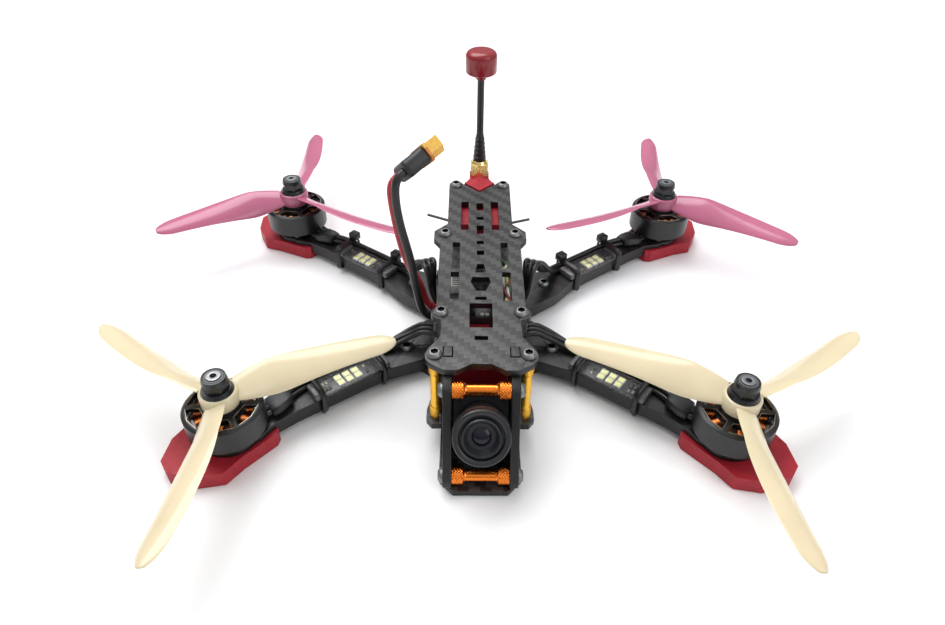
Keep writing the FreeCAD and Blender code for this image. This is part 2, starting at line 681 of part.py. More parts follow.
# ---- antenna -----------------------------------------------------------------------------
def make_antenna_mount():
    """Soft block between the rear standoffs with a raised diamond that carries the connector."""
    block = box(-9.2, 9.2, 25.5, 46.0, 27.0, 37.8)
    saddle_side = [(7.4, 46.0), (7.4, 59.5), (4.6, 65.0), (4.6, 72.2), (3.3, 73.8)]
    saddle = prism(mirrored_outline(saddle_side), 22.0, SADDLE_TOP)
    diamond = prism(mirrored_outline([(0.0, 48.2), (7.0, 55.2), (0.0, 61.6)]), 38.0, 41.6)
    mount = fused([block, saddle, diamond])
    mount = mount.cut(box(-6.0, 6.0, 27.5, 44.0, 26.0, 34.5))
    mount = mount.cut(cylinder(3.2, 30.0, 45.0, 0, ANTENNA_Y))
    return mount.cut(box(-8.0, 8.0, 61.0, 80.0, 20.0, 33.0))


def make_antenna_connector():
    """Coaxial connector: threaded barrel down through the mount, hexagon coupling above."""
    z = SADDLE_TOP + 0.05
    nut = hexagon(HEX_AF, z, z + 6.4, 0, ANTENNA_Y)
    collar = Part.makeCone(3.9, 3.1, CONNECTOR_TOP - z - 6.4, V(0, ANTENNA_Y, z + 6.4))
    return fused([nut, collar, cylinder(3.1, 33.5, z + 1, 0, ANTENNA_Y)])


def make_antenna_stem():
    z = CONNECTOR_TOP
    relief = Part.makeCone(3.0, 2.1, 11.5, V(0, ANTENNA_Y, z))
    return fused([relief, cylinder(1.6, z + 11.0, 87.0, 0, ANTENNA_Y)])


def make_antenna_dome():
    """Round radome with domed top and a short neck."""
    r = 6.9
    low, high = 87.0, 98.0
    body = cylinder(r, low + 1.6, high, 0, ANTENNA_Y)
    body = body.makeFillet(2.6, [e for e in body.Edges if e.BoundBox.ZMin > high - 0.01])
    cup = Part.makeCone(3.4, r, 1.6, V(0, ANTENNA_Y, low))
    neck = cylinder(2.4, low - 1.6, low + 0.5, 0, ANTENNA_Y)
    neck = neck.cut(cylinder(1.6, low - 3, low, 0, ANTENNA_Y))
    return fused([body, cup, neck])


def rod(start, end, r):
    along = end - start
    return Part.makeCylinder(r, along.Length, start, along)


def make_receiver_antennas():
    left = rod(V(-9.45, 32.5, 33.8), V(-23.3, 38.2, 34.6), 0.6)
    right = rod(V(9.45, 31.4, 33.8), V(22.3, 35.2, 34.6), 0.6)
    return Part.makeCompound([left, right])


# ---- battery lead ------------------------------------------------------------------------
LEAD_R = 1.6
LEAD_APART = 3.4                     # half the spacing of the two leads at the boot
PLUG_BACK = V(-29.7, -4.1, 78.4)     # middle of the boot's rear end
PLUG_AIM = V(0.697, 0.64, 0.325)     # the way the plug points
PLUG_ACROSS = V(0.354, -0.7, 0.62)  # from the red lead towards the black one
BOOT_L = 10.4
FLANGE_L = 1.2
NOSE_L = 5.6
SOCKET_L = 4.6


def plug_point(a, b, c):
    """A point given along the plug, across its width and through its thickness."""
    along = V(PLUG_AIM).normalize()
    through = along.cross(PLUG_ACROSS).normalize()
    across = through.cross(along)
    return PLUG_BACK + along * a + across * b + through * c


def plug_prism(length0, length1, half_w, half_t, chamfer):
    corners = [
        (half_w - chamfer, half_t), (half_w, half_t - chamfer), (half_w, -half_t),
        (-half_w, -half_t), (-half_w, half_t - chamfer), (-half_w + chamfer, half_t),
    ]
    points = [plug_point(length0, b, c) for b, c in corners]
    run = plug_point(length1, 0, 0) - plug_point(length0, 0, 0)
    return Part.Face(Part.makePolygon(points + points[:1])).extrude(run)


def make_battery_boot():
    return plug_prism(0.0, BOOT_L, 7.2, 3.4, 2.4)


def make_battery_plug():
    """Amber plug: flange against the boot, keyed nose and two socket bores."""
    flange_end = BOOT_L + FLANGE_L
    nose_end = flange_end + NOSE_L
    flange = plug_prism(BOOT_L, flange_end, 7.7, 3.7, 2.4)
    plug = fused([flange, plug_prism(flange_end - 0.2, nose_end, 7.1, 3.3, 2.2)])
    aim = V(PLUG_AIM).normalize()
    for s in (-1, 1):
        mouth = plug_point(nose_end - SOCKET_L, s * 3.6, 0)
        bore = Part.makeCylinder(2.2, SOCKET_L + 1.0, mouth, aim)
        plug = plug.cut(bore)
    return plug


def make_battery_wire_red():
    """The outer lead, from the edge of the speed controller up and over into the boot."""
    points = [
        V(-17.1, -7.5, 16.9), V(-21.6, -7.6, 19.6), V(-23.4, -8.0, 26.0), V(-24.9, -8.5, 33.0),
        V(-29.2, -8.8, 43.2), V(-31.6, -8.2, 54.5), V(-33.4, -6.4, 66.0), V(-34.0, -4.5, 72.6),
        plug_point(-2.4, -LEAD_APART, 0), plug_point(0, -LEAD_APART, 0),
    ]
    return routed_tube("battery_wire_red", points, LEAD_R)


def make_battery_wire_black():
    """The inner lead, beside the red one."""
    points = [
        V(-17.1, -12.6, 16.8), V(-21.4, -12.8, 18.0), V(-23.8, -13.3, 22.6), V(-24.8, -13.9, 29.2),
        V(-25.9, -14.0, 36.5), V(-26.5, -13.4, 43.3), V(-28.4, -12.3, 52.0), V(-30.6, -11.2, 61.5),
        V(-31.7, -10.4, 70.0), V(-31.7, -9.3, 76.6),
        plug_point(-2.4, LEAD_APART, 0), plug_point(0, LEAD_APART, 0),
    ]
    return routed_tube("battery_wire_black", points, LEAD_R)


# ---- camera ------------------------------------------------------------------------------
def tilted(shape):
    """Turns a camera part, made with its lens along -Y at the pivot, up to the rest tilt."""
    y, z = CAMERA_PIVOT
    return shifted(spun(shape, -CAMERA_TILT, axis=V(1, 0, 0)), 0, y, z)


def lens_stage(r, y0, y1):
    return Part.makeCylinder(r, y0 - y1, V(0, y0, 0), V(0, -1, 0))


def make_camera_case():
    """Square housing with its two side screws, which are the tilt pivot."""
    half = CAMERA_W / 2.0
    front = -5.0
    case = box(-half, half, front, 6.5, -half, half)
    long_edges = [e for e in case.Edges if e.BoundBox.YLength > 8]
    case = case.makeChamfer(1.5, long_edges)
    for sx in (-1, 1):
        for sz in (-1, 1):
            recess = lens_stage(1.0, front + 0.8, front - 1.0)
            case = case.cut(shifted(recess, sx * 7.3, 0, sz * 7.3))
    parts = [case]
    wall = CAGE_GAP / 2.0 + CAGE_T
    for s in (-1, 1):
        x0, x1 = sorted((s * (half - 0.5), s * (wall + 0.5)))
        parts.append(side_cylinder(PIVOT_R, x0, x1, 0, 0))
        x0, x1 = sorted((s * (wall + 0.3), s * (wall + 1.5)))
        parts.append(side_cylinder(1.9, x0, x1, 0, 0))
    return tilted(fused(parts))


def make_camera_lens():
    """Holder, barrel, wide focus ring and recessed inner barrel with a domed glass."""
    stages = [lens_stage(8.2, -5.0, -9.0), lens_stage(6.2, -8.9, -17.1), lens_stage(9.7, -17.0, -22.0)]
    lens = fused(stages).cut(lens_stage(7.5, -20.2, -23.0))
    lens = fused([lens, lens_stage(6.6, -20.1, -22.4)])
    lens = lens.cut(lens_stage(5.4, -19.5, -23.0))
    glass = Part.makeSphere(6.0, V(0, -14.5, 0)).common(lens_stage(5.0, -19.4, -23.0))
    return tilted(fused([lens, glass]))


# ---- assembly ----------------------------------------------------------------------------
def make_all():
    NODES["bottom_plate"] = make_bottom_plate()
    NODES["mid_plate"] = make_mid_plate()
    NODES["top_plate"] = make_top_plate()
    for name, (side, end, sense) in CORNERS.items():
        NODES[f"arm_{name}"] = make_arm(side, end)
        NODES[f"motor_guard_{name}"] = make_motor_guard(side, end)
        NODES[f"motor_base_{name}"] = make_motor_base(side, end)
        NODES[f"bell_{name}"] = make_bell(side, end)
        NODES[f"shaft_{name}"] = make_shaft(side, end)
        NODES[f"propeller_{name}"] = make_propeller(name, side, end, sense)
        NODES[f"prop_nut_{name}"] = make_prop_nut(side, end)
    NODES["camera_plate_left"] = make_camera_plate(-1)
    NODES["camera_plate_right"] = make_camera_plate(1)
    NODES["camera_spacers"] = make_camera_spacers()
    NODES["front_standoffs"] = make_front_standoffs()
    NODES["body_standoffs"] = make_body_standoffs()
    NODES["frame_screws"] = make_frame_screws()
    NODES["stator_cores"] = make_stator_cores()
    NODES["windings"] = make_windings()
    NODES["motor_bearings"] = make_motor_bearings()
    NODES["motor_wires"] = make_motor_wires()
    NODES["led_boards"] = make_led_boards()
    NODES["cable_ties"] = make_cable_ties()
    NODES["esc_board"] = make_esc_board()
    NODES["flight_controller"] = make_flight_controller()
    NODES["stack_hardware"] = make_stack_hardware()
    NODES["video_transmitter"] = make_video_transmitter()
    NODES["vtx_bed"] = make_vtx_bed()
    NODES["receiver"] = make_receiver()
    NODES["antenna_mount"] = make_antenna_mount()
    NODES["antenna_connector"] = make_antenna_connector()
    NODES["antenna_stem"] = make_antenna_stem()
    NODES["antenna_dome"] = make_antenna_dome()
    NODES["receiver_antennas"] = make_receiver_antennas()
    NODES["battery_wire_red"] = make_battery_wire_red()
    NODES["battery_wire_black"] = make_battery_wire_black()
    NODES["battery_boot"] = make_battery_boot()
    NODES["battery_plug"] = make_battery_plug()
    NODES["camera_case"] = make_camera_case()
    NODES["camera_lens"] = make_camera_lens()


def export_all():
    os.makedirs("parts", exist_ok=True)
    for name, shape in NODES.items():
        shape.exportStep(f"parts/{name}.step")
        print(f"{name}: {len(shape.Solids)} solids, valid {shape.isValid()}, volume {shape.Volume:.1f}")


make_all()
export_all()
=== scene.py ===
import bmesh
import bpy
import json
import math
import random
from mathutils import Matrix, Vector


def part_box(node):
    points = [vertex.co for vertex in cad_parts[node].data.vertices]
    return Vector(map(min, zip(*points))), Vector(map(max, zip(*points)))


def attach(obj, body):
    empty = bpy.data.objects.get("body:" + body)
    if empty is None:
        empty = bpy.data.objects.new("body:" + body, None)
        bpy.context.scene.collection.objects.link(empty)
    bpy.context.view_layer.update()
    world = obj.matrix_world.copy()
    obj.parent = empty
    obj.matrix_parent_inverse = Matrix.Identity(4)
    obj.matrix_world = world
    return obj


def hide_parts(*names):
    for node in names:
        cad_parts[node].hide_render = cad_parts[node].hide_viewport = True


# FPV racing drone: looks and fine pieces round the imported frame. The frame is in metres; the shapes
# below are built in millimetres and scaled when they become pieces. Nose towards -Y, left is -X.

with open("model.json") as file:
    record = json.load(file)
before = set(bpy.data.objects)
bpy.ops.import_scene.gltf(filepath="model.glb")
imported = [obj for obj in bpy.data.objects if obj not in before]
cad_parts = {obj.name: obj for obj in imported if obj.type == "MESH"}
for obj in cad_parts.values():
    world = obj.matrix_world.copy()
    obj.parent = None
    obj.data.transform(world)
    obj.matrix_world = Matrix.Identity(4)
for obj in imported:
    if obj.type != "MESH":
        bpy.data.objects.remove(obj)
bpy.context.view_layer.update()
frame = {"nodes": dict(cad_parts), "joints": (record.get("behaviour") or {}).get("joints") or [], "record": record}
MM = 0.001

# ---- places read from the frame ----------------------------------------------------------
JOINTS = {j["name"]: j for j in frame["joints"]}
MOUNTS = {m["name"]: m for m in frame["record"]["mounts"]}


def low(node):
    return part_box(node)[0] / MM


def high(node):
    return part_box(node)[1] / MM


CORNERS = {"front_left": 1, "front_right": -1, "rear_left": -1, "rear_right": 1}  # sense of rotation
MOTOR = {name: Vector(JOINTS["spin_" + name]["pos_m"]).to_2d() / MM for name in CORNERS}
ARM_TOP = high("arm_front_left").z
ARM_LOW = low("arm_front_left").z
BELL_Z = low("bell_front_left").z
PROP_Z = high("bell_front_left").z
NUT_Z = low("prop_nut_front_left").z
TOP_TOP = high("top_plate").z
ARM_LENGTH = MOTOR["front_right"].length
FC_TOP = low("flight_controller").z + 1.6
STACK_Y = (low("esc_board").y + high("esc_board").y) / 2.0
PIVOT = Vector(JOINTS["camera_tilt"]["pos_m"]) / MM
ANTENNA_Y = (low("antenna_dome").y + high("antenna_dome").y) / 2.0


def heading(name):
    return math.atan2(MOTOR[name].y, MOTOR[name].x)


def on_arm(name):
    """X runs outward along the arm from the drone's centre."""
    return Matrix.Rotation(heading(name), 4, "Z")


def at_motor(name):
    return Matrix.Translation(MOTOR[name].to_3d()) @ on_arm(name)


def nose_sign(name):
    """Sign of the arm's sideways direction that points to the nose."""
    return -1.0 if math.cos(heading(name)) > 0 else 1.0


# ---- camera ------------------------------------------------------------------------------
VIEW_LENS = 27.05
VIEW_PLACE = (-0.0049, -0.2359, 0.2064)
VIEW_TURN = (50.106, -0.663, 0.049)


def add_camera():
    data = bpy.data.cameras.new("view")
    data.sensor_width = 36.0
    data.lens = VIEW_LENS
    data.clip_start = 0.01
    camera = bpy.data.objects.new("view", data)
    camera.location = VIEW_PLACE
    camera.rotation_euler = [math.radians(a) for a in VIEW_TURN]
    bpy.context.scene.collection.objects.link(camera)
    bpy.context.scene.camera = camera


# ---- looks -------------------------------------------------------------------------------
class Look:
    """A node material: one shader, with short calls for the textures that feed it."""

    def __init__(self, name, color, rough, **sockets):
        self.material = bpy.data.materials.new(name)
        self.material.use_nodes = True
        self.tree = self.material.node_tree
        self.shader = self.tree.nodes["Principled BSDF"]
        self.shader.inputs["Base Color"].default_value = (*color, 1.0)
        self.shader.inputs["Roughness"].default_value = rough
        for key, value in sockets.items():
            self.shader.inputs[key.replace("_", " ")].default_value = value
        self.place = self.tree.nodes.new("ShaderNodeTexCoord").outputs["Object"]

    def feed(self, socket, value):
        if isinstance(value, bpy.types.NodeSocket):
            self.tree.links.new(value, socket)
        else:
            socket.default_value = value

    def math(self, operation, a, b=0.0):
        node = self.tree.nodes.new("ShaderNodeMath")
        node.operation = operation
        self.feed(node.inputs[0], a)
        self.feed(node.inputs[1], b)
        return node.outputs[0]

    def axes(self, source=None):
        node = self.tree.nodes.new("ShaderNodeSeparateXYZ")
        self.feed(node.inputs[0], source or self.place)
        return node.outputs

    def scaled(self, x, y, z):
        node = self.tree.nodes.new("ShaderNodeMapping")
        self.feed(node.inputs["Vector"], self.place)
        node.inputs["Scale"].default_value = (x, y, z)
        return node.outputs[0]

    def noise(self, per_metre, detail=3.0, stretch=(1.0, 1.0, 1.0)):
        node = self.tree.nodes.new("ShaderNodeTexNoise")
        self.feed(node.inputs["Vector"], self.scaled(*[per_metre * s for s in stretch]))
        node.inputs["Scale"].default_value = 1.0
        node.inputs["Detail"].default_value = detail
        return node.outputs["Fac"]

    def span(self, value, low_in, high_in, low_out, high_out):
        node = self.tree.nodes.new("ShaderNodeMapRange")
        for socket, v in zip(node.inputs, (value, low_in, high_in, low_out, high_out)):
            self.feed(socket, v)
        return node.outputs[0]

    def blend(self, amount, a, b):
        node = self.tree.nodes.new("ShaderNodeMix")
        node.data_type = "RGBA"
        self.feed(node.inputs["Factor"], amount)
        for socket, v in ((node.inputs[6], a), (node.inputs[7], b)):
            self.feed(socket, v if isinstance(v, bpy.types.NodeSocket) else (*v, 1.0))
        return node.outputs[2]

    def color(self, socket):
        self.feed(self.shader.inputs["Base Color"], socket)
        return self

    def rough(self, socket):
        self.feed(self.shader.inputs["Roughness"], socket)
        return self

    def bump(self, height, depth_mm, strength=1.0):
        node = self.tree.nodes.new("ShaderNodeBump")
        node.inputs["Distance"].default_value = depth_mm * MM
        node.inputs["Strength"].default_value = strength
        self.feed(node.inputs["Height"], height)
        self.feed(self.shader.inputs["Normal"], node.outputs[0])
        return self


TOWS_PER_METRE = 500.0


def carbon(name, flat=("X", "Y"), dark=0.004, light=0.046):
    """2 x 2 twill of 2 mm tows on the flat faces, plain black resin on the cut edges."""
    look = Look(name, (light,) * 3, 0.42)
    axes = look.axes()
    u, v = [look.math("MULTIPLY", axes[axis], TOWS_PER_METRE) for axis in flat]
    cells = look.math("ADD", look.math("FLOOR", u), look.math("FLOOR", v))
    warp = look.math("LESS_THAN", look.math("FLOORED_MODULO", cells, 4.0), 1.5)
    weft = look.math("SUBTRACT", 1.0, warp)
    crown_u, crown_v = [look.math("PINGPONG", run, 0.5) for run in (u, v)]
    drawn_out = [[0.04 if a == axis else 1.0 for a in "XYZ"] for axis in flat]
    along_u, along_v = [look.noise(6000.0, 2.0, stretch) for stretch in drawn_out]
    fibre = look.math("ADD", look.math("MULTIPLY", warp, along_v), look.math("MULTIPLY", weft, along_u))
    crown = look.math("ADD", look.math("MULTIPLY", warp, crown_u), look.math("MULTIPLY", weft, crown_v))
    tone = look.math("MULTIPLY", look.span(warp, 0.0, 1.0, 1.0, 0.16),
                     look.span(fibre, 0.3, 0.7, 0.6, 1.25))
    woven = look.blend(tone, (dark,) * 3, (light,) * 3)
    facing = look.tree.nodes.new("ShaderNodeTexCoord").outputs["Normal"]
    across = ({"X", "Y", "Z"} - set(flat)).pop()
    flatness = look.span(look.math("ABSOLUTE", look.axes(facing)[across]), 0.6, 0.9, 0.0, 1.0)
    look.color(look.blend(flatness, (dark * 0.8,) * 3, woven))
    look.rough(look.span(look.noise(900.0), 0.3, 0.7, 0.3, 0.5))
    height = look.math("MULTIPLY", flatness, look.math("ADD", crown, look.math("MULTIPLY", fibre, 0.2)))
    return look.bump(height, 0.06, 0.6).material


def anodised(name, color, rough=0.26):
    look = Look(name, color, rough, Metallic=1.0)
    worn = look.span(look.noise(2500.0, 4.0), 0.35, 0.7, 0.85, 1.1)
    tint = look.blend(worn, [c * 0.6 for c in color], color)
    look.color(tint).rough(look.span(look.noise(1400.0), 0.3, 0.7, rough * 0.8, rough * 1.4))
    return look.bump(look.noise(9000.0, 2.0), 0.01, 0.4).material


def steel(name, color, rough):
    look = Look(name, color, rough, Metallic=1.0)
    look.rough(look.span(look.noise(3000.0, 4.0), 0.3, 0.7, rough * 0.7, rough * 1.5))
    look.color(look.blend(look.noise(1200.0, 5.0), [c * 0.72 for c in color], color))
    return look.bump(look.noise(12000.0, 2.0), 0.008, 0.4).material


def printed(name, color):
    """Soft printed plastic: fine layers one above the other and a faint mottle."""
    look = Look(name, color, 0.5, Subsurface_Weight=0.12, Subsurface_Scale=0.002)
    look.shader.inputs["Specular IOR Level"].default_value = 0.35
    layer = look.math("PINGPONG", look.math("MULTIPLY", look.axes()["Z"], 1000.0), 0.15)
    mottle = look.noise(350.0, 4.0)
    look.color(look.blend(look.span(mottle, 0.3, 0.7, 0.0, 1.0), [c * 0.8 for c in color], color))
    look.rough(look.span(look.noise(1800.0), 0.3, 0.7, 0.4, 0.62))
    height = look.math("ADD", layer, look.math("MULTIPLY", look.noise(2600.0, 3.0), 0.12))
    return look.bump(height, 0.25, 0.5).material


def plastic(name, color, rough=0.4, grain=0.03, **sockets):
    look = Look(name, color, rough, **sockets)
    tone = look.span(look.noise(700.0, 4.0), 0.3, 0.7, 0.0, 1.0)
    look.color(look.blend(tone, [c * 0.82 for c in color], color))
    look.rough(look.span(look.noise(1500.0, 4.0), 0.3, 0.7, rough * 0.8, rough * 1.25))
    return look.bump(look.noise(5000.0, 3.0), grain, 0.5).material


def clear_tinted(name, color, rough, through, depth=0.12):
    """Translucent moulded plastic with a faint flow mottle."""
    look = Look(name, color, rough, Transmission_Weight=through, IOR=1.5)
    look.shader.inputs["Subsurface Weight"].default_value = depth
    look.shader.inputs["Subsurface Scale"].default_value = 0.003
    flow = look.span(look.noise(45.0, 3.0, (1.0, 1.0, 0.5)), 0.3, 0.7, 0.0, 1.0)
    look.color(look.blend(flow, [c * 0.9 for c in color], color))
    look.rough(look.span(look.noise(60.0, 2.0), 0.3, 0.7, rough * 0.9, rough * 1.15))
    return look.bump(look.noise(40.0, 1.0), 0.05, 0.1).material


def crinkled_film(name):
    """Clear shrink film: glossy, with folds at several sizes."""
    look = Look(name, (0.95, 0.96, 0.97), 0.1, Transmission_Weight=0.96, IOR=1.2, Alpha=0.5)
    folds = look.math("ADD", look.noise(420.0, 5.0), look.math("MULTIPLY", look.noise(1500.0, 4.0), 0.4))
    look.rough(look.span(look.noise(600.0), 0.3, 0.7, 0.05, 0.28))
    return look.bump(folds, 0.9, 0.8).material


def circuit(name, color):
    """Solder resist over copper tracks."""
    look = Look(name, color, 0.3, Coat_Weight=0.3)
    tracks = look.tree.nodes.new("ShaderNodeTexBrick")
    look.feed(tracks.inputs["Vector"], look.scaled(900.0, 900.0, 900.0))
    tracks.inputs["Scale"].default_value = 1.0
    tracks.inputs["Mortar Size"].default_value = 0.06
    look.color(look.blend(tracks.outputs["Fac"], color, [min(1.0, c * 2.2 + 0.01) for c in color]))
    look.rough(look.span(look.noise(900.0), 0.3, 0.7, 0.25, 0.45))
    return look.bump(tracks.outputs["Fac"], 0.05, 0.6).material


LOOKS = {
    "carbon": carbon("carbon", ("X", "Y")),
    "carbon_side": carbon("carbon_side", ("Y", "Z"), 0.006, 0.016),
    "carbon_arm": carbon("carbon_arm", ("X", "Y"), 0.006, 0.014),
    "orange_anodised": anodised("orange_anodised", (0.92, 0.24, 0.035), 0.24),
    "gold_anodised": anodised("gold_anodised", (0.9, 0.5, 0.06), 0.3),
    "black_anodised": plastic("black_anodised", (0.007, 0.0075, 0.0085), 0.34, 0.01),
    "bright_cut": steel("bright_cut", (0.5, 0.44, 0.34), 0.34),
    "screw_steel": steel("screw_steel", (0.27, 0.275, 0.28), 0.42),
    "shaft_steel": steel("shaft_steel", (0.3, 0.305, 0.32), 0.36),
    "bearing_steel": steel("bearing_steel", (0.6, 0.6, 0.6), 0.25),
    "core_steel": steel("core_steel", (0.2, 0.2, 0.21), 0.45),
    "magnet": steel("magnet", (0.62, 0.63, 0.65), 0.3),
    "copper": steel("copper", (0.86, 0.3, 0.09), 0.3),
    "red_tpu": printed("red_tpu", (0.4, 0.016, 0.03)),
    "cream": clear_tinted("cream", (0.8, 0.69, 0.46), 0.17, 0.12),
    "pink": clear_tinted("pink", (0.52, 0.145, 0.25), 0.17, 0.12),
    "black_nut": plastic("black_nut", (0.008, 0.009, 0.011), 0.3, 0.01),
    "grey_nylon": plastic("grey_nylon", (0.09, 0.095, 0.1), 0.45),
    "black_silicone": plastic("black_silicone", (0.012, 0.012, 0.013), 0.34, 0.04),
    "red_silicone": plastic("red_silicone", (0.46, 0.022, 0.035), 0.42, 0.04),
    "black_nylon": plastic("black_nylon", (0.013, 0.013, 0.014), 0.38, 0.03),
    "black_shrink": plastic("black_shrink", (0.014, 0.014, 0.015), 0.42, 0.08),
    "amber": plastic("amber", (0.86, 0.5, 0.06), 0.3, 0.02, Subsurface_Weight=0.15, Subsurface_Scale=0.002),
    "flange_orange": plastic("flange_orange", (0.62, 0.2, 0.03), 0.32, 0.02),
    "light_board": circuit("light_board", (0.02, 0.021, 0.022)),
    "black_board": circuit("black_board", (0.012, 0.013, 0.014)),
    "white_frame": plastic("white_frame", (0.8, 0.8, 0.76), 0.35),
    # The phosphor squares emit a faint glow although the lights are off: painted light that brightens them under
    # the film.
    "phosphor_painted_glow": plastic("phosphor_painted_glow", (0.92, 0.93, 0.42), 0.35, 0.02,
                        Emission_Color=(0.9, 0.92, 0.4, 1.0), Emission_Strength=0.12),
    "film": crinkled_film("film"),
    "film_end": plastic("film_end", (0.11, 0.112, 0.115), 0.26, 0.3, Coat_Weight=0.4),
    "black_module": plastic("black_module", (0.02, 0.02, 0.022), 0.4, 0.05),
    # The hex socket's steel is far darker than the head's: painted shade in the recess.
    "socket_painted_shade": steel("socket_painted_shade", (0.05, 0.05, 0.055), 0.4),
    "lens_black": plastic("lens_black", (0.014, 0.015, 0.017), 0.36, 0.02),
    "gold_brass": steel("gold_brass", (1.0, 0.74, 0.3), 0.2),
    "white_nylon": plastic("white_nylon", (0.78, 0.77, 0.72), 0.4),
    "red_radome": clear_tinted("red_radome", (0.36, 0.016, 0.026), 0.2, 0.3),
    "dark_core": plastic("dark_core", (0.12, 0.01, 0.012), 0.5),
    "antenna_wire": plastic("antenna_wire", (0.05, 0.05, 0.055), 0.4),
    "wire_white": plastic("wire_white", (0.75, 0.75, 0.72), 0.4),
    "wire_yellow": plastic("wire_yellow", (0.6, 0.6, 0.2), 0.4),
    "wire_red": plastic("wire_red", (0.25, 0.02, 0.03), 0.4),
    "wire_green": plastic("wire_green", (0.09, 0.2, 0.07), 0.4),
}


def lens_glass():
    look = Look("lens_glass", (0.003, 0.0035, 0.005), 0.08)
    look.shader.inputs["Specular IOR Level"].default_value = 0.3
    edge = look.noise(300.0, 1.0)
    look.color(look.blend(edge, (0.004, 0.005, 0.012), (0.012, 0.01, 0.02)))
    return look.material


LOOKS["lens_glass"] = lens_glass()


# ---- shape builder -----------------------------------------------------------------------
class Shape:
    """Gathers lathes, sweeps and blocks, in millimetres, and turns them into one piece."""

    def __init__(self):
        self.bm = bmesh.new()
        self.looks = []

    def index(self, look):
        if look not in self.looks:
            self.looks.append(look)
        return self.looks.index(look)

    def grid(self, rows, look, ring=True, caps=False, place=Matrix()):
        """Skins rows of points one after another."""
        made = [[self.bm.verts.new(place @ Vector(p)) for p in row] for row in rows]
        index = self.index(look)
        count = len(made[0])
        for a, b in zip(made, made[1:]):
            for i in range(count if ring else count - 1):
                j = (i + 1) % count
                self.bm.faces.new((a[i], a[j], b[j], b[i])).material_index = index
        if caps:
            self.bm.faces.new(made[0][::-1]).material_index = index
            self.bm.faces.new(made[-1]).material_index = index
        return self

    def lathe(self, profile, look, place=Matrix(), steps=48, caps=False):
        """Turns (radius, height) points round the Z axis."""
        turns = [2.0 * math.pi * i / steps for i in range(steps)]
        rows = [[(r * math.cos(a), r * math.sin(a), z) for a in turns] for r, z in profile]
        return self.grid(rows, look, True, caps, place)

    def sweep(self, path, section, look, closed=False, place=Matrix()):
        """Carries a section (pairs of numbers) along a path of points."""
        points = [Vector(p) for p in path]
        count = len(points)
        rows = []
        side = None
        for i, p in enumerate(points):
            before = points[i - 1] if closed or i else p
            after = points[(i + 1) % count] if closed or i < count - 1 else p
            ahead = (after - before).normalized()
            if side is None:
                side = ahead.orthogonal().normalized()
                if abs(ahead.z) < 0.9:
                    side = ahead.cross(Vector((0, 0, 1))).normalized()
            side = (side - ahead * side.dot(ahead)).normalized()
            up = side.cross(ahead)
            rows.append([p + side * a + up * b for a, b in section])
        if closed:
            rows.append(rows[0])
        return self.grid(rows, look, True, not closed, place)

    def block(self, centre, size, look, bevel=0.2, place=Matrix(), segments=2):
        """A box with rounded edges."""
        before = set(self.bm.faces)
        fit = place @ Matrix.Translation(centre) @ Matrix.Diagonal((*size, 1.0))
        made = bmesh.ops.create_cube(self.bm, size=1.0, matrix=fit)
        edges = list(dict.fromkeys(e for v in made["verts"] for e in v.link_edges))
        bmesh.ops.bevel(self.bm, geom=edges, offset=bevel, segments=segments, profile=0.5,
                        affect="EDGES", clamp_overlap=True)
        index = self.index(look)
        for face in set(self.bm.faces) - before:
            face.material_index = index
        return self

    def piece(self, name, body="frame", instead=(), slot=None, sharp=38.0):
        bmesh.ops.remove_doubles(self.bm, verts=self.bm.verts, dist=0.0005)
        bmesh.ops.recalc_face_normals(self.bm, faces=self.bm.faces)
        bmesh.ops.scale(self.bm, vec=(MM, MM, MM), verts=self.bm.verts)
        mesh = bpy.data.meshes.new(name)
        self.bm.to_mesh(mesh)
        self.bm.free()
        for look in self.looks:
            mesh.materials.append(LOOKS[look])
        mesh.shade_smooth()
        mesh.set_sharp_from_angle(angle=math.radians(sharp))
        obj = bpy.data.objects.new(name, mesh)
        bpy.context.scene.collection.objects.link(obj)
        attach(obj, body)
        if instead:
            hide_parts(*instead)
        return obj


def round_section(r, steps=10):
    turns = [2 * math.pi * i / steps for i in range(steps)]
    return [(r * math.cos(a), r * math.sin(a)) for a in turns]


def box_section(half_w, half_t, r, steps=4):
    """A rounded rectangle."""
    points = []
    for sx, sy, start in ((1, 1, 0), (-1, 1, 90), (-1, -1, 180), (1, -1, 270)):
        for i in range(steps + 1):
            a = math.radians(start + 90.0 * i / steps)
            points.append((sx * (half_w - r) + r * math.cos(a), sy * (half_t - r) + r * math.sin(a)))
    return points


def smooth_path(points, steps=6):
    """Points along a curve that passes through the given ones."""
    p = [Vector(q) for q in points]
    p = [2 * p[0] - p[1]] + p + [2 * p[-1] - p[-2]]
    out = []
    for a, b, c, d in zip(p, p[1:], p[2:], p[3:]):
        for i in range(steps):
            t = i / steps
            out.append(0.5 * (2 * b + (c - a) * t + (2 * a - 5 * b + 4 * c - d) * t * t
                              + (3 * b - a - 3 * c + d) * t ** 3))
    return out + [p[-2]]


# ---- battery lead ------------------------------------------------------------------------
RED_ROUTE = (
    (-0.0171, -0.0075, 0.0169), (-0.0216, -0.0076, 0.0196), (-0.0234, -0.008, 0.026),
    (-0.0249, -0.0085, 0.033), (-0.0292, -0.0088, 0.0432), (-0.0316, -0.0082, 0.0545),
    (-0.0334, -0.0064, 0.066), (-0.034, -0.0045, 0.0726), (-0.032575, -0.003254, 0.075512),
    (-0.030903, -0.001719, 0.076292),
)
BLACK_ROUTE = (
    (-0.0171, -0.0126, 0.0168), (-0.0214, -0.0128, 0.018), (-0.0238, -0.0133, 0.0226),
    (-0.0248, -0.0139, 0.0292), (-0.0259, -0.014, 0.0365), (-0.0265, -0.0134, 0.0433),
    (-0.0284, -0.0123, 0.052), (-0.0306, -0.0112, 0.0615), (-0.0317, -0.0104, 0.07),
    (-0.0317, -0.0093, 0.0766), (-0.030169, -0.008016, 0.079728), (-0.028497, -0.006481, 0.080508),
)
LEAD_D = 0.0032


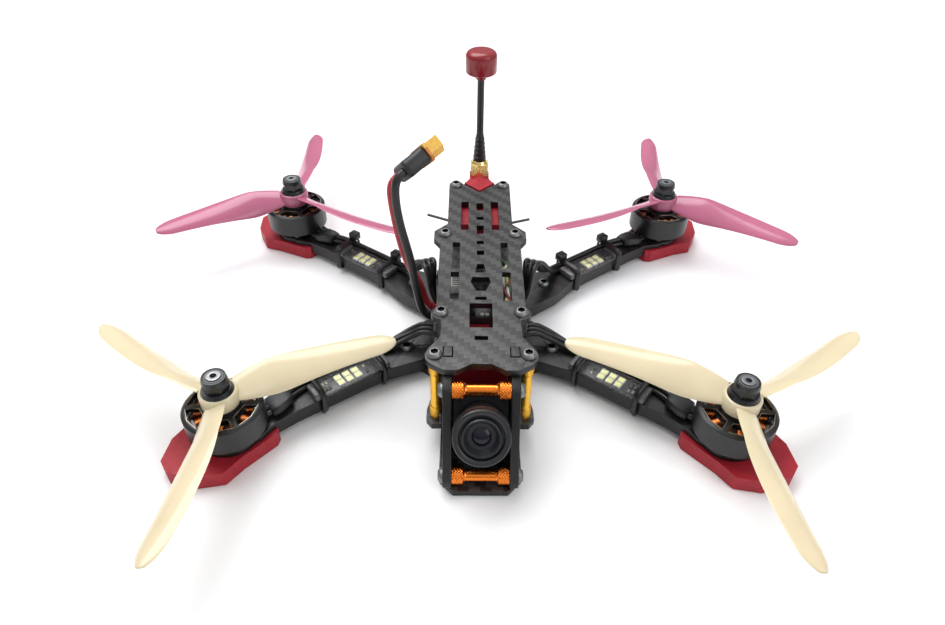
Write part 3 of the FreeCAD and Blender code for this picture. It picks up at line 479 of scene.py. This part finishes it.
def lead(name, route, look):
    data = bpy.data.curves.new(name, "CURVE")
    data.dimensions = "3D"
    line = data.splines.new("NURBS")
    line.points.add(len(route) - 1)
    for point, place in zip(line.points, route):
        point.co = (*place, 1.0)
    line.order_u = 3
    line.use_endpoint_u = True
    line.resolution_u = 12
    data.bevel_depth = LEAD_D / 2.0
    data.bevel_resolution = 6
    data.use_fill_caps = True
    data.materials.append(LOOKS[look])
    obj = bpy.data.objects.new(name, data)
    bpy.context.scene.collection.objects.link(obj)
    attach(obj, "frame")
    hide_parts(name)
    return obj


def plug_place():
    """X points out of the plug, Y from the red lead to the black one; origin at its front."""
    a, b = (MOUNTS["battery_socket_" + k] for k in "ab")
    front = (Vector(a["pos_m"]) + Vector(b["pos_m"])) / 2.0 / MM
    along = Vector(a["axis"]).normalized()
    across = (Vector(b["pos_m"]) - Vector(a["pos_m"])).normalized()
    across = (across - along * across.dot(along)).normalized()
    through = along.cross(across)
    turn = Matrix((along, across, through)).transposed().to_4x4()
    return Matrix.Translation(front + along * 2.3) @ turn


def section_rows(stations):
    """Rounded sections square to X: (x, half width, half thickness, corner radius)."""
    return [[(x, b, c) for b, c in box_section(w, t, r, 6)] for x, w, t, r in stations]


def add_battery_plug():
    place = plug_place()
    boot = Shape().grid(section_rows((
        (-17.2, 5.4, 1.9, 1.8), (-17.1, 6.3, 2.7, 2.3), (-16.6, 6.9, 3.2, 2.6), (-15.6, 7.15, 3.4, 2.7),
        (-12.0, 7.1, 3.35, 2.5), (-9.0, 7.2, 3.4, 2.4), (-7.6, 7.2, 3.4, 2.3), (-7.0, 7.0, 3.2, 2.2),
        (-6.8, 6.6, 2.9, 2.1),
    )), "black_shrink", True, True, place)
    boot = boot.piece("lead_boot", instead=("battery_boot",), slot="black_nylon", sharp=60)
    rim = Shape().grid(section_rows((
        (-6.9, 7.3, 3.3, 2.2), (-6.75, 7.75, 3.75, 2.3), (-5.75, 7.75, 3.75, 2.3), (-5.6, 7.3, 3.4, 2.2),
    )), "flange_orange", True, True, place)
    rim = rim.piece("plug_rim", slot="amber_nylon")
    contacts = Shape()
    for s in (-1, 1):
        at = place @ Matrix.Translation((-4.5, s * 3.6, 0)) @ Matrix.Rotation(math.radians(90), 4, "Y")
        contacts.lathe(((0, 0.1), (1.7, 0.1), (1.7, 4.2), (2.12, 4.2), (2.12, 0.1)), "gold_brass", at, 24)
    contacts = contacts.piece("plug_contacts", slot="gold_brass")
    return [boot, rim, contacts, frame["nodes"]["battery_plug"]]


def add_leads():
    red = lead("battery_wire_red", RED_ROUTE, "red_silicone")
    black = lead("battery_wire_black", BLACK_ROUTE, "black_silicone")
    on_it = add_battery_plug()


# ---- finishes of the frame's own nodes ---------------------------------------------------
NODE_LOOKS = {
    "bottom_plate": ("carbon", 0.25), "mid_plate": ("carbon", 0.25), "top_plate": ("carbon", 0.25),
    "camera_plate_left": ("carbon_side", 0.35), "camera_plate_right": ("carbon_side", 0.35),
    "stator_cores": ("core_steel", 0),
    "motor_bearings": ("bearing_steel", 0), "motor_wires": ("black_silicone", 0),
    "esc_board": ("black_board", 0.1), "flight_controller": ("black_board", 0.1),
    "stack_hardware": ("black_nylon", 0), "video_transmitter": ("black_module", 0.2),
    "vtx_bed": ("red_tpu", 0.3), "receiver": ("black_board", 0.1), "antenna_mount": ("red_tpu", 0.35),
    "antenna_connector": ("gold_brass", 0.2), "receiver_antennas": ("antenna_wire", 0),
    "battery_plug": ("amber", 0.4), "camera_case": ("lens_black", 0.25),
}
for corner in CORNERS:
    NODE_LOOKS["arm_" + corner] = ("carbon_arm", 0.3)
    NODE_LOOKS["motor_guard_" + corner] = ("red_tpu", 0.35)
    NODE_LOOKS["motor_base_" + corner] = ("black_anodised", 0.15)
    NODE_LOOKS["bell_" + corner] = ("black_anodised", 0.15)
    NODE_LOOKS["shaft_" + corner] = ("shaft_steel", 0.1)
    NODE_LOOKS["prop_nut_" + corner] = ("black_nut", 0.2)


def dress_node(name, look, bevel):
    """Gives a CAD node its material and breaks its edges with modifiers."""
    node = frame["nodes"][name]
    node.data.materials.clear()
    node.data.materials.append(LOOKS[look])
    if not bevel:
        return
    weld = node.modifiers.new("weld", "WELD")
    weld.merge_threshold = 1e-6
    edge = node.modifiers.new("edge", "BEVEL")
    edge.width = bevel * MM
    edge.segments = 2
    edge.limit_method = "ANGLE"
    edge.angle_limit = math.radians(32.0)
    node.modifiers.new("shade", "WEIGHTED_NORMAL")


# ---- propellers --------------------------------------------------------------------------
PROP_R = 65.0
BLADE_ROOT_R = 4.0
FULL_CHORD_R = 20.0       # from here the blade tapers
TIP_ROUND_R = 57.0        # from here its end is rounded
ROOT_CHORD = 8.0
CHORD_GAIN = 6.0
TIP_TAPER = 0.42
PITCH = 100.0             # travel in one turn
BLADE_RISE = 3.4          # middle of the blade above the hub's foot
BLADE_PHASE = {"front_left": 27.4, "front_right": 32.4, "rear_left": 89.4, "rear_right": 86.0}


def blade_section(r, sense, steps=18):
    """Thin cambered section of the blade at radius r."""
    reach = min(1.0, (r - BLADE_ROOT_R) / 22.0)
    grow = reach * (2.0 - reach)
    fade = max(0.0, (r - FULL_CHORD_R) / (PROP_R - FULL_CHORD_R))
    rounding = min(0.995, max(0.0, (r - TIP_ROUND_R) / (PROP_R + 0.4 - TIP_ROUND_R)))
    chord = (ROOT_CHORD + CHORD_GAIN * grow) * (1.0 - TIP_TAPER * fade) * math.sqrt(1.0 - rounding ** 2)
    pitch = math.atan(PITCH / (2.0 * math.pi * max(r, 19.0))) * (0.62 + 0.38 * grow)
    thick = 2.2 - 1.3 * min(1.0, r / 40.0)
    sweep = 1.5 * math.sin(math.pi * min(1.0, r / PROP_R)) - 1.0 * fade ** 2
    camber = 0.085 * chord * grow
    row = []
    for i in range(steps):
        a = 2.0 * math.pi * i / steps
        along = 0.5 * math.cos(a)
        skin = 0.5 * thick * math.sin(a) * (1.0 - 0.35 * along)
        lift = skin + camber * (1.0 - 4.0 * along ** 2) - 0.4 * camber
        ahead = along * chord
        across = ahead * math.cos(pitch) - lift * math.sin(pitch) + sweep
        rise = ahead * math.sin(pitch) + lift * math.cos(pitch)
        row.append((r, sense * across, PROP_Z + BLADE_RISE + rise))
    return row


def add_propeller(corner, sense):
    look = "cream" if corner.startswith("front") else "pink"
    phase = Matrix.Rotation(math.radians(BLADE_PHASE[corner]), 4, "Z")
    place = Matrix.Translation(MOTOR[corner].to_3d()) @ phase
    stations = [5.8 + 1.6 * i for i in range(33)] + [58.0, 60.0, 61.6, 62.8, 63.7, 64.3, 64.7, PROP_R]
    shape = Shape()
    for i in range(3):
        turn = place @ Matrix.Rotation(math.radians(120.0 * i), 4, "Z")
        shape.grid([blade_section(r, sense) for r in stations], look, True, True, turn)
    base, top = PROP_Z + 0.03, NUT_Z - 0.03
    shape.lathe((
        (2.6, base), (6.3, base), (6.6, base + 0.3), (6.7, base + 1.4), (6.7, top - 1.0),
        (6.5, top - 0.4), (6.1, top), (2.6, top), (2.6, base),
    ), look, place, 64)
    slot = "cream_polycarbonate" if look == "cream" else "pink_polycarbonate"
    shape.piece("blades_" + corner, "rotor_" + corner, ("propeller_" + corner,), slot, 50)


# ---- motors ------------------------------------------------------------------------------
def add_motor_details(corner):
    place = at_motor(corner)
    body = "rotor_" + corner
    trim = Shape()
    roof = BELL_Z + 10.0
    corners = ((7.12, -2.98), (11.22, -5.34), (12.45, 0.0), (11.22, 5.34), (7.12, 2.98))
    for i in range(6):
        turn = place @ Matrix.Rotation(math.radians(60.0 * i), 4, "Z")
        loop = [(x, y, roof - 0.05) for x, y in corners]
        trim.sweep(loop, box_section(0.14, 0.12, 0.04, 1), "bright_cut", True, turn)
    trim.piece("window_trim_" + corner, body, slot="bearing_steel")
    magnets = Shape()
    for i in range(14):
        turn = place @ Matrix.Rotation(2.0 * math.pi * i / 14, 4, "Z")
        magnets.block((11.98, 0, BELL_Z + 4.4), (0.75, 4.6, 7.0), "magnet", 0.15, turn, 1)
    magnets.piece("magnets_" + corner, body, slot="core_steel")
    rim = NUT_Z + 6.3
    collar = Shape().lathe((
        (2.55, rim), (2.6, rim + 0.3), (3.0, rim + 0.38), (3.3, rim + 0.3), (3.35, rim),
    ), "grey_nylon", place, 40)
    collar.piece("lock_ring_" + corner, body, slot="black_nylon")


def add_windings():
    """Round copper turns on every tooth, in place of the plain coils."""
    z0, z1 = BELL_Z + 1.2, BELL_Z + 7.2
    for number, corner in enumerate(CORNERS):
        shape = Shape()
        for i in range(12):
            turn = at_motor(corner) @ Matrix.Rotation(math.radians(30.0 * i), 4, "Z")
            for k in range(6):
                x = 7.95 + 0.42 * k
                spread = 0.12 * math.sin(1.7 * k + i)
                loop = [(x, a, (z0 + z1) / 2 + b) for a, b in box_section(1.22 + spread, 3.45, 0.7, 2)]
                shape.sweep(loop, round_section(0.24, 6), "copper", True, turn)
        instead = ("windings",) if number == 0 else ()
        shape.piece("coils_" + corner, "frame", instead, "copper", 80)


# ---- spacers and standoffs ---------------------------------------------------------------
SPACER_R = 3.1
SPACER_WAIST_R = 2.05
FRONT_POST_R = 2.35
BODY_POST_R = 2.6
POST_WAIST_R = 1.9
REAR_POST_X = 10.8
MIDDLE_POST_Y = 13.1
KNURL_DEPTH = 0.26


def spacer_places():
    """(y, z) of the upper and the lower camera spacer."""
    lo, hi = low("camera_spacers"), high("camera_spacers")
    return (hi.y - SPACER_R, hi.z - SPACER_R), (lo.y + SPACER_R, lo.z + SPACER_R)


def body_post_places():
    """(x, y) of the right-hand body standoffs: rear, middle and fore."""
    lo, hi = low("body_standoffs"), high("body_standoffs")
    side = hi.x - BODY_POST_R
    return (REAR_POST_X, hi.y - BODY_POST_R), (side, MIDDLE_POST_Y), (side, lo.y + BODY_POST_R)


def knurled_post(shape, end_r, waist_r, length, look, place, diamonds=16):
    """A round post along Z with diamond-knurled ends and a slim smooth waist."""
    end = length * 0.2
    bands = round(end / 1.1)
    steps = diamonds * 6
    samples = bands * 6
    lower = [(0.0, 0.0, end_r - 0.25)]
    lower += [(0.1 + (end - 0.2) * i / samples, 1.0, end_r) for i in range(samples + 1)]
    lower += [(end, 0.0, end_r - 0.3), (end + 1.0, 0.0, waist_r), (end + 1.2, 0.0, waist_r)]
    upper = [(length - z, k, r) for z, k, r in reversed(lower)]
    rows = []
    for z, knurl, r in lower + upper:
        row = []
        for i in range(steps):
            a = 2.0 * math.pi * i / steps
            across = diamonds * a / 2.0
            along = math.pi * bands * z / end
            groove = min(abs(math.sin(across + along)), abs(math.sin(across - along)))
            skin = r - KNURL_DEPTH * knurl * (1.0 - groove) ** 2
            row.append((skin * math.cos(a), skin * math.sin(a), z))
        rows.append(row)
    return shape.grid(rows, look, True, True, place)


def add_posts():
    across = Matrix.Rotation(math.radians(90), 4, "Y")
    lo, hi = low("camera_spacers"), high("camera_spacers")
    shape = Shape()
    for y, z in spacer_places():
        place = Matrix.Translation((lo.x, y, z)) @ across
        knurled_post(shape, SPACER_R, SPACER_WAIST_R, hi.x - lo.x, "orange_anodised", place)
    shape.piece("spacers_knurled", instead=("camera_spacers",), slot="orange_anodised", sharp=70)
    lo, hi = low("front_standoffs"), high("front_standoffs")
    shape = Shape()
    for x in (lo.x + FRONT_POST_R, hi.x - FRONT_POST_R):
        place = Matrix.Translation((x, lo.y + FRONT_POST_R, lo.z))
        knurled_post(shape, FRONT_POST_R, POST_WAIST_R, hi.z - lo.z, "gold_anodised", place, 12)
    shape.piece("front_posts_knurled", instead=("front_standoffs",), slot="gold_anodised", sharp=70)
    lo, hi = low("body_standoffs"), high("body_standoffs")
    shape = Shape()
    for x, y in body_post_places():
        for s in (-1, 1):
            place = Matrix.Translation((s * x, y, lo.z))
            knurled_post(shape, BODY_POST_R, POST_WAIST_R, hi.z - lo.z, "black_anodised", place, 8)
    shape.piece("body_posts_knurled", instead=("body_standoffs",), slot="black_anodised", sharp=70)


# ---- screws ------------------------------------------------------------------------------
SCREW_HEAD = (
    (1.4, 0.0), (2.6, 0.0), (2.7, 0.12), (2.68, 0.45), (2.45, 0.95), (2.05, 1.42), (1.75, 1.66), (1.66, 1.7),
)
SCREW_SOCKET = ((1.42, 1.68), (1.34, 1.45), (1.34, 0.5), (0.0, 0.35))
SOCKET_SCALE = 0.9        # the hexagon's flats against the socket's radii
SHANK_R = 1.4
ARM_SCREW_T = 36.7        # along the arm from the drone's centre
MOTOR_SCREW_R = 8.0


def screw(shape, place, shank):
    """Button head above z = 0 with a deep hexagon socket, and its shank below."""
    steps = 36
    turns = [2 * math.pi * i / steps for i in range(steps)]
    hexagon = [1.0 / max(math.cos(a - k * math.pi / 3) for k in range(6)) * SOCKET_SCALE for a in turns]
    rows = [[(r * math.cos(a), r * math.sin(a), z) for a in turns] for r, z in SCREW_HEAD]
    for r, z in SCREW_SOCKET:
        rows.append([(r * h * math.cos(a), r * h * math.sin(a), z) for a, h in zip(turns, hexagon)])
    lip = len(SCREW_HEAD) + 1
    shape.grid(rows[:lip + 1], "screw_steel", True, False, place)
    # The socket walls take the darker socket steel: painted shade inside the hex recess.
    shape.grid(rows[lip:], "socket_painted_shade", True, False, place)
    end = ((SHANK_R, 0.0), (SHANK_R, -shank + 0.3), (1.1, -shank), (0.0, -shank))
    shape.lathe(end, "screw_steel", place, 16)


def add_screws():
    shape = Shape()
    front = (high("front_standoffs").x - FRONT_POST_R, low("front_standoffs").y + FRONT_POST_R)
    for x, y in (*body_post_places(), front):
        for s in (-1, 1):
            screw(shape, Matrix.Translation((s * x, y, TOP_TOP)), 8.0)
    flip = Matrix.Rotation(math.pi, 4, "X")
    for s in (-1, 1):
        screw(shape, Matrix.Translation((s * front[0], front[1], ARM_TOP)) @ flip, 8.0)
    for y, z in spacer_places():
        for s in (-1, 1):
            turn = Matrix.Rotation(math.radians(s * 90.0), 4, "Y")
            screw(shape, Matrix.Translation((s * high("camera_plate_right").x, y, z)) @ turn, 6.0)
    for corner in CORNERS:
        screw(shape, on_arm(corner) @ Matrix.Translation((ARM_SCREW_T, 0, ARM_TOP)), 8.0)
        for a in (45, 135, 225, 315):
            x, y = MOTOR_SCREW_R * math.cos(math.radians(a)), MOTOR_SCREW_R * math.sin(math.radians(a))
            screw(shape, at_motor(corner) @ Matrix.Translation((x, y, ARM_LOW)) @ flip, 7.0)
    shape.piece("screws", "frame", ("frame_screws",), "screw_steel", 40)


# ---- things strapped to the arms ---------------------------------------------------------
LED_T = (49.0, 80.0)
LED_SHIFT = 2.0
TIE_T = (51.5, 78.0)
FILM_CRIMP = ((-2.2, 3.5, 1.1), (-1.9, 4.05, 1.45), (0.0, 4.2, 1.5), (1.9, 4.05, 1.4), (2.2, 3.6, 1.2))


def add_light_boards():
    dice = random.Random(3)
    for number, corner in enumerate(CORNERS):
        place = on_arm(corner)
        low_n = nose_sign(corner) * LED_SHIFT
        middle = (LED_T[0] + LED_T[1]) / 2.0
        size = (LED_T[1] - LED_T[0], 7.4, 1.2)
        board = Shape().block((middle, low_n, ARM_TOP + 0.6), size, "light_board", 0.15, place)
        for i in range(3):
            for row in (-1, 1):
                at = (61.45 + 3.7 * i, low_n + row * 1.45, ARM_TOP + 1.45)
                board.block(at, (2.9, 2.6, 0.8), "white_frame", 0.12, place)
                # Phosphor squares with a faint painted glow.
                board.block((at[0], at[1], ARM_TOP + 1.82), (2.4, 2.15, 0.16), "phosphor_painted_glow", 0.05, place)
        for t in (57.4, 73.6, 75.2):
            board.block((t, low_n + 1.2, ARM_TOP + 1.4), (1.2, 1.8, 0.7), "black_module", 0.1, place)
            board.block((t, low_n - 1.6, ARM_TOP + 1.3), (0.9, 0.9, 0.5), "bright_cut", 0.2, place)
        instead = ("led_boards",) if number == 0 else ()
        board.piece("light_board_" + corner, "frame", instead, "light_board")
        film = Shape()
        rows = []
        for k in range(40):
            t = LED_T[0] - 1.0 + (LED_T[1] - LED_T[0] + 2.0) * k / 39
            pinch = 0.75 * math.exp(-min(k, 39 - k) / 2.0)
            row = []
            for b, c in box_section(4.3 - pinch, 1.55 - 0.6 * pinch, 0.9, 5):
                wrinkle = dice.uniform(-0.1, 0.1)
                row.append((t, low_n + b * (1.0 + 0.3 * wrinkle), ARM_TOP + 1.6 + c + wrinkle * (c > 0)))
            rows.append(row)
        film.grid(rows, "film", True, False, place)
        film.piece("light_film_" + corner, "frame", (), "light_board", 80)
        ends = Shape()
        for t in (LED_T[0] + 1.4, LED_T[1] - 1.4):
            rows = [[(t + d, low_n + b, ARM_TOP + 1.6 + c) for b, c in box_section(w, h, 0.8, 5)]
                    for d, w, h in FILM_CRIMP]
            ends.grid(rows, "film_end", True, True, place)
        ends.piece("film_crimps_" + corner, "frame", (), "light_board", 60)


def add_ties():
    for number, corner in enumerate(CORNERS):
        place = on_arm(corner)
        nose = nose_sign(corner)
        shape = Shape()
        for t in TIE_T:
            loop = [(t, n, (ARM_LOW + ARM_TOP) / 2.0 + 2.0 + z) for n, z in box_section(7.1, 5.7, 2.4, 5)]
            shape.sweep(loop, box_section(1.25, 0.45, 0.15, 1), "black_nylon", True, place)
            head = (t, -nose * 5.0, ARM_TOP + 6.3)
            shape.block(head, (4.2, 3.9, 3.4), "black_nylon", 0.45, place)
            shape.block((t, -nose * 5.0, ARM_TOP + 8.0), (2.4, 1.4, 0.6), "black_nylon", 0.15, place)
        instead = ("cable_ties",) if number == 0 else ()
        shape.piece("ties_" + corner, "frame", instead, "black_nylon", 50)


def add_wire_sleeves():
    """Black shrink tube over the three leads where they come out from under the bell."""
    stations = (
        (15.2, 3.7, 1.35, 0.2), (15.6, 4.3, 1.7, 0.2), (18.5, 4.4, 1.9, 0.7),
        (21.8, 3.9, 1.9, 0.9), (24.4, 3.1, 1.8, 0.7), (24.8, 2.6, 1.5, 0.6),
    )
    for corner in CORNERS:
        side = nose_sign(corner)
        rows = []
        for i, (back, w, h, lift) in enumerate(stations):
            t, z = ARM_LENGTH - back, ARM_TOP + 1.95 + lift
            drift = -side * 0.55 * max(0, i - 2)
            rows.append([(t, drift + b, z + c) for b, c in box_section(w, h, 1.2, 5)])
        sleeve = Shape().grid(rows, "black_shrink", True, True, on_arm(corner))
        sleeve.piece("wire_sleeve_" + corner, slot="black_silicone", sharp=60)


# ---- electronics -------------------------------------------------------------------------
def add_connectors():
    shape = Shape()
    for y in (-25.5, -18.5, -4.0):
        shape.block((-10.0, y, FC_TOP + 2.05), (4.7, 5.9, 4.1), "white_nylon", 0.25)
        for k in range(4):
            shape.block((-10.0, y - 2.1 + 1.4 * k, FC_TOP + 4.12), (2.6, 0.7, 0.12), "black_module", 0.02)
    shape.piece("board_sockets", slot="black_board")
    chips = Shape()
    for x, y, w, d in (
        (-3.0, 7.5, 4.0, 3.0), (3.4, 7.0, 3.0, 3.0), (6.0, -9.0, 3.2, 4.6), (-3.2, -9.5, 2.4, 2.0),
    ):
        chips.block((x, STACK_Y + y, FC_TOP + 0.6), (w, d, 1.2), "black_module", 0.12)
    for i in range(6):
        for s in (-1, 1):
            at = (s * (11.5 - 1.7 * i), STACK_Y + s * 15.8, FC_TOP + 0.15)
            chips.block(at, (1.1, 1.5, 0.3), "gold_brass", 0.1)
    chips.piece("board_chips", slot="black_board")
    blobs = Shape()
    for s in (-1, 1):
        for i in range(6):
            at = Matrix.Translation((s * 16.3, STACK_Y + 12.2 - 4.6 * i, low("esc_board").z + 1.6))
            blobs.lathe(((0, 0.9), (0.7, 0.8), (1.2, 0.35), (1.35, 0.0)), "screw_steel", at, 16)
    blobs.piece("solder_joints", slot="screw_steel")


def add_harness():
    """Thin coloured leads between the boards on the right-hand side."""
    runs = (
        ("wire_yellow", ((10.4, 2.0, 26), (9.4, -0.5, 33.5), (10.4, -6.5, 35.0),
                         (11.0, -14, 31), (9.8, -24.0, 34.6), (10.6, -31, 30))),
        ("wire_white", ((11.2, 4.0, 26), (10.9, 0.0, 34.4), (9.6, -5.0, 33.2),
                        (9.2, -13.0, 34.5), (10.9, -18.0, 34.8), (9.6, -30, 31))),
        ("wire_red", ((12.2, 0.0, 26), (12.0, -4.0, 30), (11.4, -12, 34.0),
                      (9.4, -17.5, 35.3), (11.6, -23, 33.5), (11.4, -31, 30))),
        ("wire_green", ((9.4, 5.0, 25.4), (10.2, 3.0, 33.6), (11.6, -3.0, 34.6),
                        (10.6, -9.0, 32), (11.4, -15.5, 35.0), (8.8, -29, 32))),
        ("black_silicone", ((9.0, 6.0, 25), (8.9, 4.6, 33.8), (9.2, -9.0, 31.6),
                            (8.6, -20, 33.4), (9.0, -31, 30))),
    )
    for look, points in runs:
        wire = Shape().sweep(smooth_path(points), round_section(0.62, 10), look)
        wire.piece("board_lead_" + look, slot="black_silicone", sharp=80)


def add_transmitter_details():
    """Two round pads, a small chip and a row of printed lines on top of the transmitter."""
    edge, top = low("video_transmitter").y, low("video_transmitter").z + 4.8
    shape = Shape()
    for x in (0.6, 2.5):
        at = Matrix.Translation((x, edge + 1.9, top))
        shape.lathe(((0.0, 0.1), (0.3, 0.1), (0.35, 0.22), (0.72, 0.22), (0.78, 0.0)), "white_frame", at, 20)
    shape.piece("transmitter_pads", slot="black_module")
    marks = Shape()
    for i in range(5):
        marks.block((-1.5 + 1.3 * i, edge + 4.6, top + 0.05), (0.8, 0.35, 0.1), "film_end", 0.02)
    marks.block((-3.2, edge + 3.2, top + 0.4), (2.4, 3.0, 0.8), "black_module", 0.12)
    marks.piece("transmitter_parts", slot="black_module")


# ---- antenna -----------------------------------------------------------------------------
def add_antenna():
    at = Matrix.Translation((0, ANTENNA_Y, 0))
    z, top = low("antenna_stem").z, high("antenna_stem").z
    relief = [(0.0, z), (2.7, z), (3.0, z + 0.3)]
    for i in range(5):
        step = z + 0.6 + 2.2 * i
        r = 3.0 - 0.2 * i
        relief += [(r, step), (r - 0.02, step + 1.7), (r - 0.22, step + 1.85), (r - 0.22, step + 2.1)]
    relief += [(1.9, z + 12.2), (1.65, z + 13.0), (1.58, z + 16.0), (1.55, top), (0.0, top)]
    sleeve = Shape().lathe(relief, "black_silicone", at, 40)
    sleeve.piece("stem_sleeve", instead=("antenna_stem",), slot="black_silicone")
    lo, hi = low("antenna_dome").z, high("antenna_dome").z
    shoulder = hi - 2.8
    dome = [(1.62, lo), (2.3, lo), (2.4, lo + 0.3), (2.4, lo + 1.6), (3.4, lo + 1.7), (5.6, lo + 2.3),
            (6.6, lo + 2.9), (6.85, lo + 3.4), (6.9, shoulder)]
    for i in range(1, 7):
        a = math.radians(15.0 * i)
        dome.append((4.1 + 2.8 * math.cos(a), shoulder + 2.6 * math.sin(a)))
    dome += [(2.0, hi - 0.02), (0.0, hi)]
    shell = Shape().lathe(dome, "red_radome", at, 64)
    shell.piece("dome_shell", instead=("antenna_dome",), slot="red_radome")
    core = Shape().lathe((
        (0.0, lo + 2.6), (4.6, lo + 2.9), (4.8, lo + 3.4), (4.8, hi - 2.4), (4.2, hi - 1.6), (0.0, hi - 1.5),
    ), "dark_core", at, 40)
    core.piece("dome_core", slot="red_radome")


# ---- lens --------------------------------------------------------------------------------
REST_TILT = -31.0
LENS_STEPS = 96
RING_R = 9.7
RIB_DEPTH = 0.16
GLASS_R = 6.0


def add_lens():
    """Holder, barrel, ribbed focus ring, inner barrel and domed glass."""
    tilt = Matrix.Translation(PIVOT) @ Matrix.Rotation(math.radians(REST_TILT), 4, "X")
    out = tilt @ Matrix.Rotation(math.radians(90), 4, "X")
    body = Shape()
    body.lathe((
        (0, 5.0), (8.2, 5.0), (8.2, 8.7), (7.9, 9.0), (6.2, 9.0), (6.2, 17.0), (9.4, 17.0), (RING_R, 17.3),
    ), "lens_black", out, LENS_STEPS)
    turns = [2 * math.pi * i / LENS_STEPS for i in range(LENS_STEPS)]
    ribs = []
    for z, depth in ((17.3, 0.0), (17.6, 1.0), (20.4, 1.0), (20.7, 0.0)):
        radii = [RING_R - RIB_DEPTH * depth * (i % 2) for i in range(LENS_STEPS)]
        ribs.append([(r * math.cos(a), r * math.sin(a), z) for r, a in zip(radii, turns)])
    body.grid(ribs, "lens_black", True, False, out)
    body.lathe((
        (RING_R, 20.7), (RING_R, 21.6), (9.3, 22.0), (8.4, 22.0), (7.7, 21.6), (7.5, 20.2), (6.75, 20.2),
        (6.6, 20.5), (6.6, 22.1), (6.3, 22.4), (5.9, 22.35), (5.5, 21.6), (5.2, 20.9), (4.9, 20.5),
        (4.6, 19.9), (0.0, 19.4),
    ), "lens_black", out, LENS_STEPS)
    body.piece("lens_barrel", "camera", ("camera_lens",), "lens_black", 30)
    dome = []
    for i in range(9):
        a = math.radians(6.1 * i)
        dome.append((GLASS_R * math.sin(a), 14.5 + GLASS_R * math.cos(a) + 0.25))
    glass = Shape().lathe(dome, "lens_glass", out, 64)
    glass.piece("lens_glass", "camera", slot="lens_black")


# ---- stage -------------------------------------------------------------------------------
FLOOR_HALF = 4.0
FLOOR_Z = -0.0003         # a hair under the drone


def add_stage():
    """White paper floor, a world that is dimmer towards the ground, and a white backdrop to the camera."""
    look = Look("floor_paper", (0.9, 0.9, 0.9), 0.7)
    look.color(look.blend(look.noise(6.0, 2.0), (0.89, 0.89, 0.9), (0.91, 0.91, 0.91)))
    mesh = bpy.data.meshes.new("floor")
    corners = [(x * FLOOR_HALF, y * FLOOR_HALF, FLOOR_Z) for x, y in ((-1, -1), (1, -1), (1, 1), (-1, 1))]
    mesh.from_pydata(corners, [], [(0, 1, 2, 3)])
    mesh.materials.append(look.material)
    floor = bpy.data.objects.new("floor", mesh)
    bpy.context.scene.collection.objects.link(floor)
    world = bpy.data.worlds.new("studio")
    world.use_nodes = True
    nodes, links = world.node_tree.nodes, world.node_tree.links
    sky = nodes["Background"]
    sky.inputs["Color"].default_value = (0.97, 0.98, 1.0, 1.0)
    split = nodes.new("ShaderNodeSeparateXYZ")
    links.new(nodes.new("ShaderNodeTexCoord").outputs["Generated"], split.inputs[0])
    shade = nodes.new("ShaderNodeMapRange")
    links.new(split.outputs["Z"], shade.inputs["Value"])
    for socket, value in zip(("From Min", "From Max", "To Min", "To Max"), (0.1, 0.8, 0.3, 0.85)):
        shade.inputs[socket].default_value = value
    backdrop = nodes.new("ShaderNodeMath")
    backdrop.operation = "MAXIMUM"
    links.new(shade.outputs[0], backdrop.inputs[0])
    links.new(nodes.new("ShaderNodeLightPath").outputs["Is Camera Ray"], backdrop.inputs[1])
    links.new(backdrop.outputs[0], sky.inputs["Strength"])
    bpy.context.scene.world = world
    bpy.context.scene.view_settings.view_transform = "Standard"


def add_light(name, place, aim, size, power):
    data = bpy.data.lights.new(name, "AREA")
    data.shape = "RECTANGLE"
    data.size, data.size_y = size
    data.energy = power
    lamp = bpy.data.objects.new(name, data)
    lamp.location = place
    lamp.rotation_euler = (Vector(aim) - Vector(place)).to_track_quat("-Z", "Y").to_euler()
    bpy.context.scene.collection.objects.link(lamp)


# ---- assembly ----------------------------------------------------------------------------
add_camera()
add_leads()
for node_name, (node_look, node_bevel) in NODE_LOOKS.items():
    dress_node(node_name, node_look, node_bevel)
for corner, sense in CORNERS.items():
    add_propeller(corner, sense)
    add_motor_details(corner)
add_windings()
add_posts()
add_screws()
add_light_boards()
add_ties()
add_wire_sleeves()
add_connectors()
add_harness()
add_transmitter_details()
add_antenna()
add_lens()
add_stage()
add_light("softbox", (-0.25, 0.35, 0.85), (0, 0, 0), (0.9, 0.6), 8.5)
add_light("fill", (0.7, -0.5, 0.6), (0, 0, 0.02), (0.6, 0.6), 2.4)
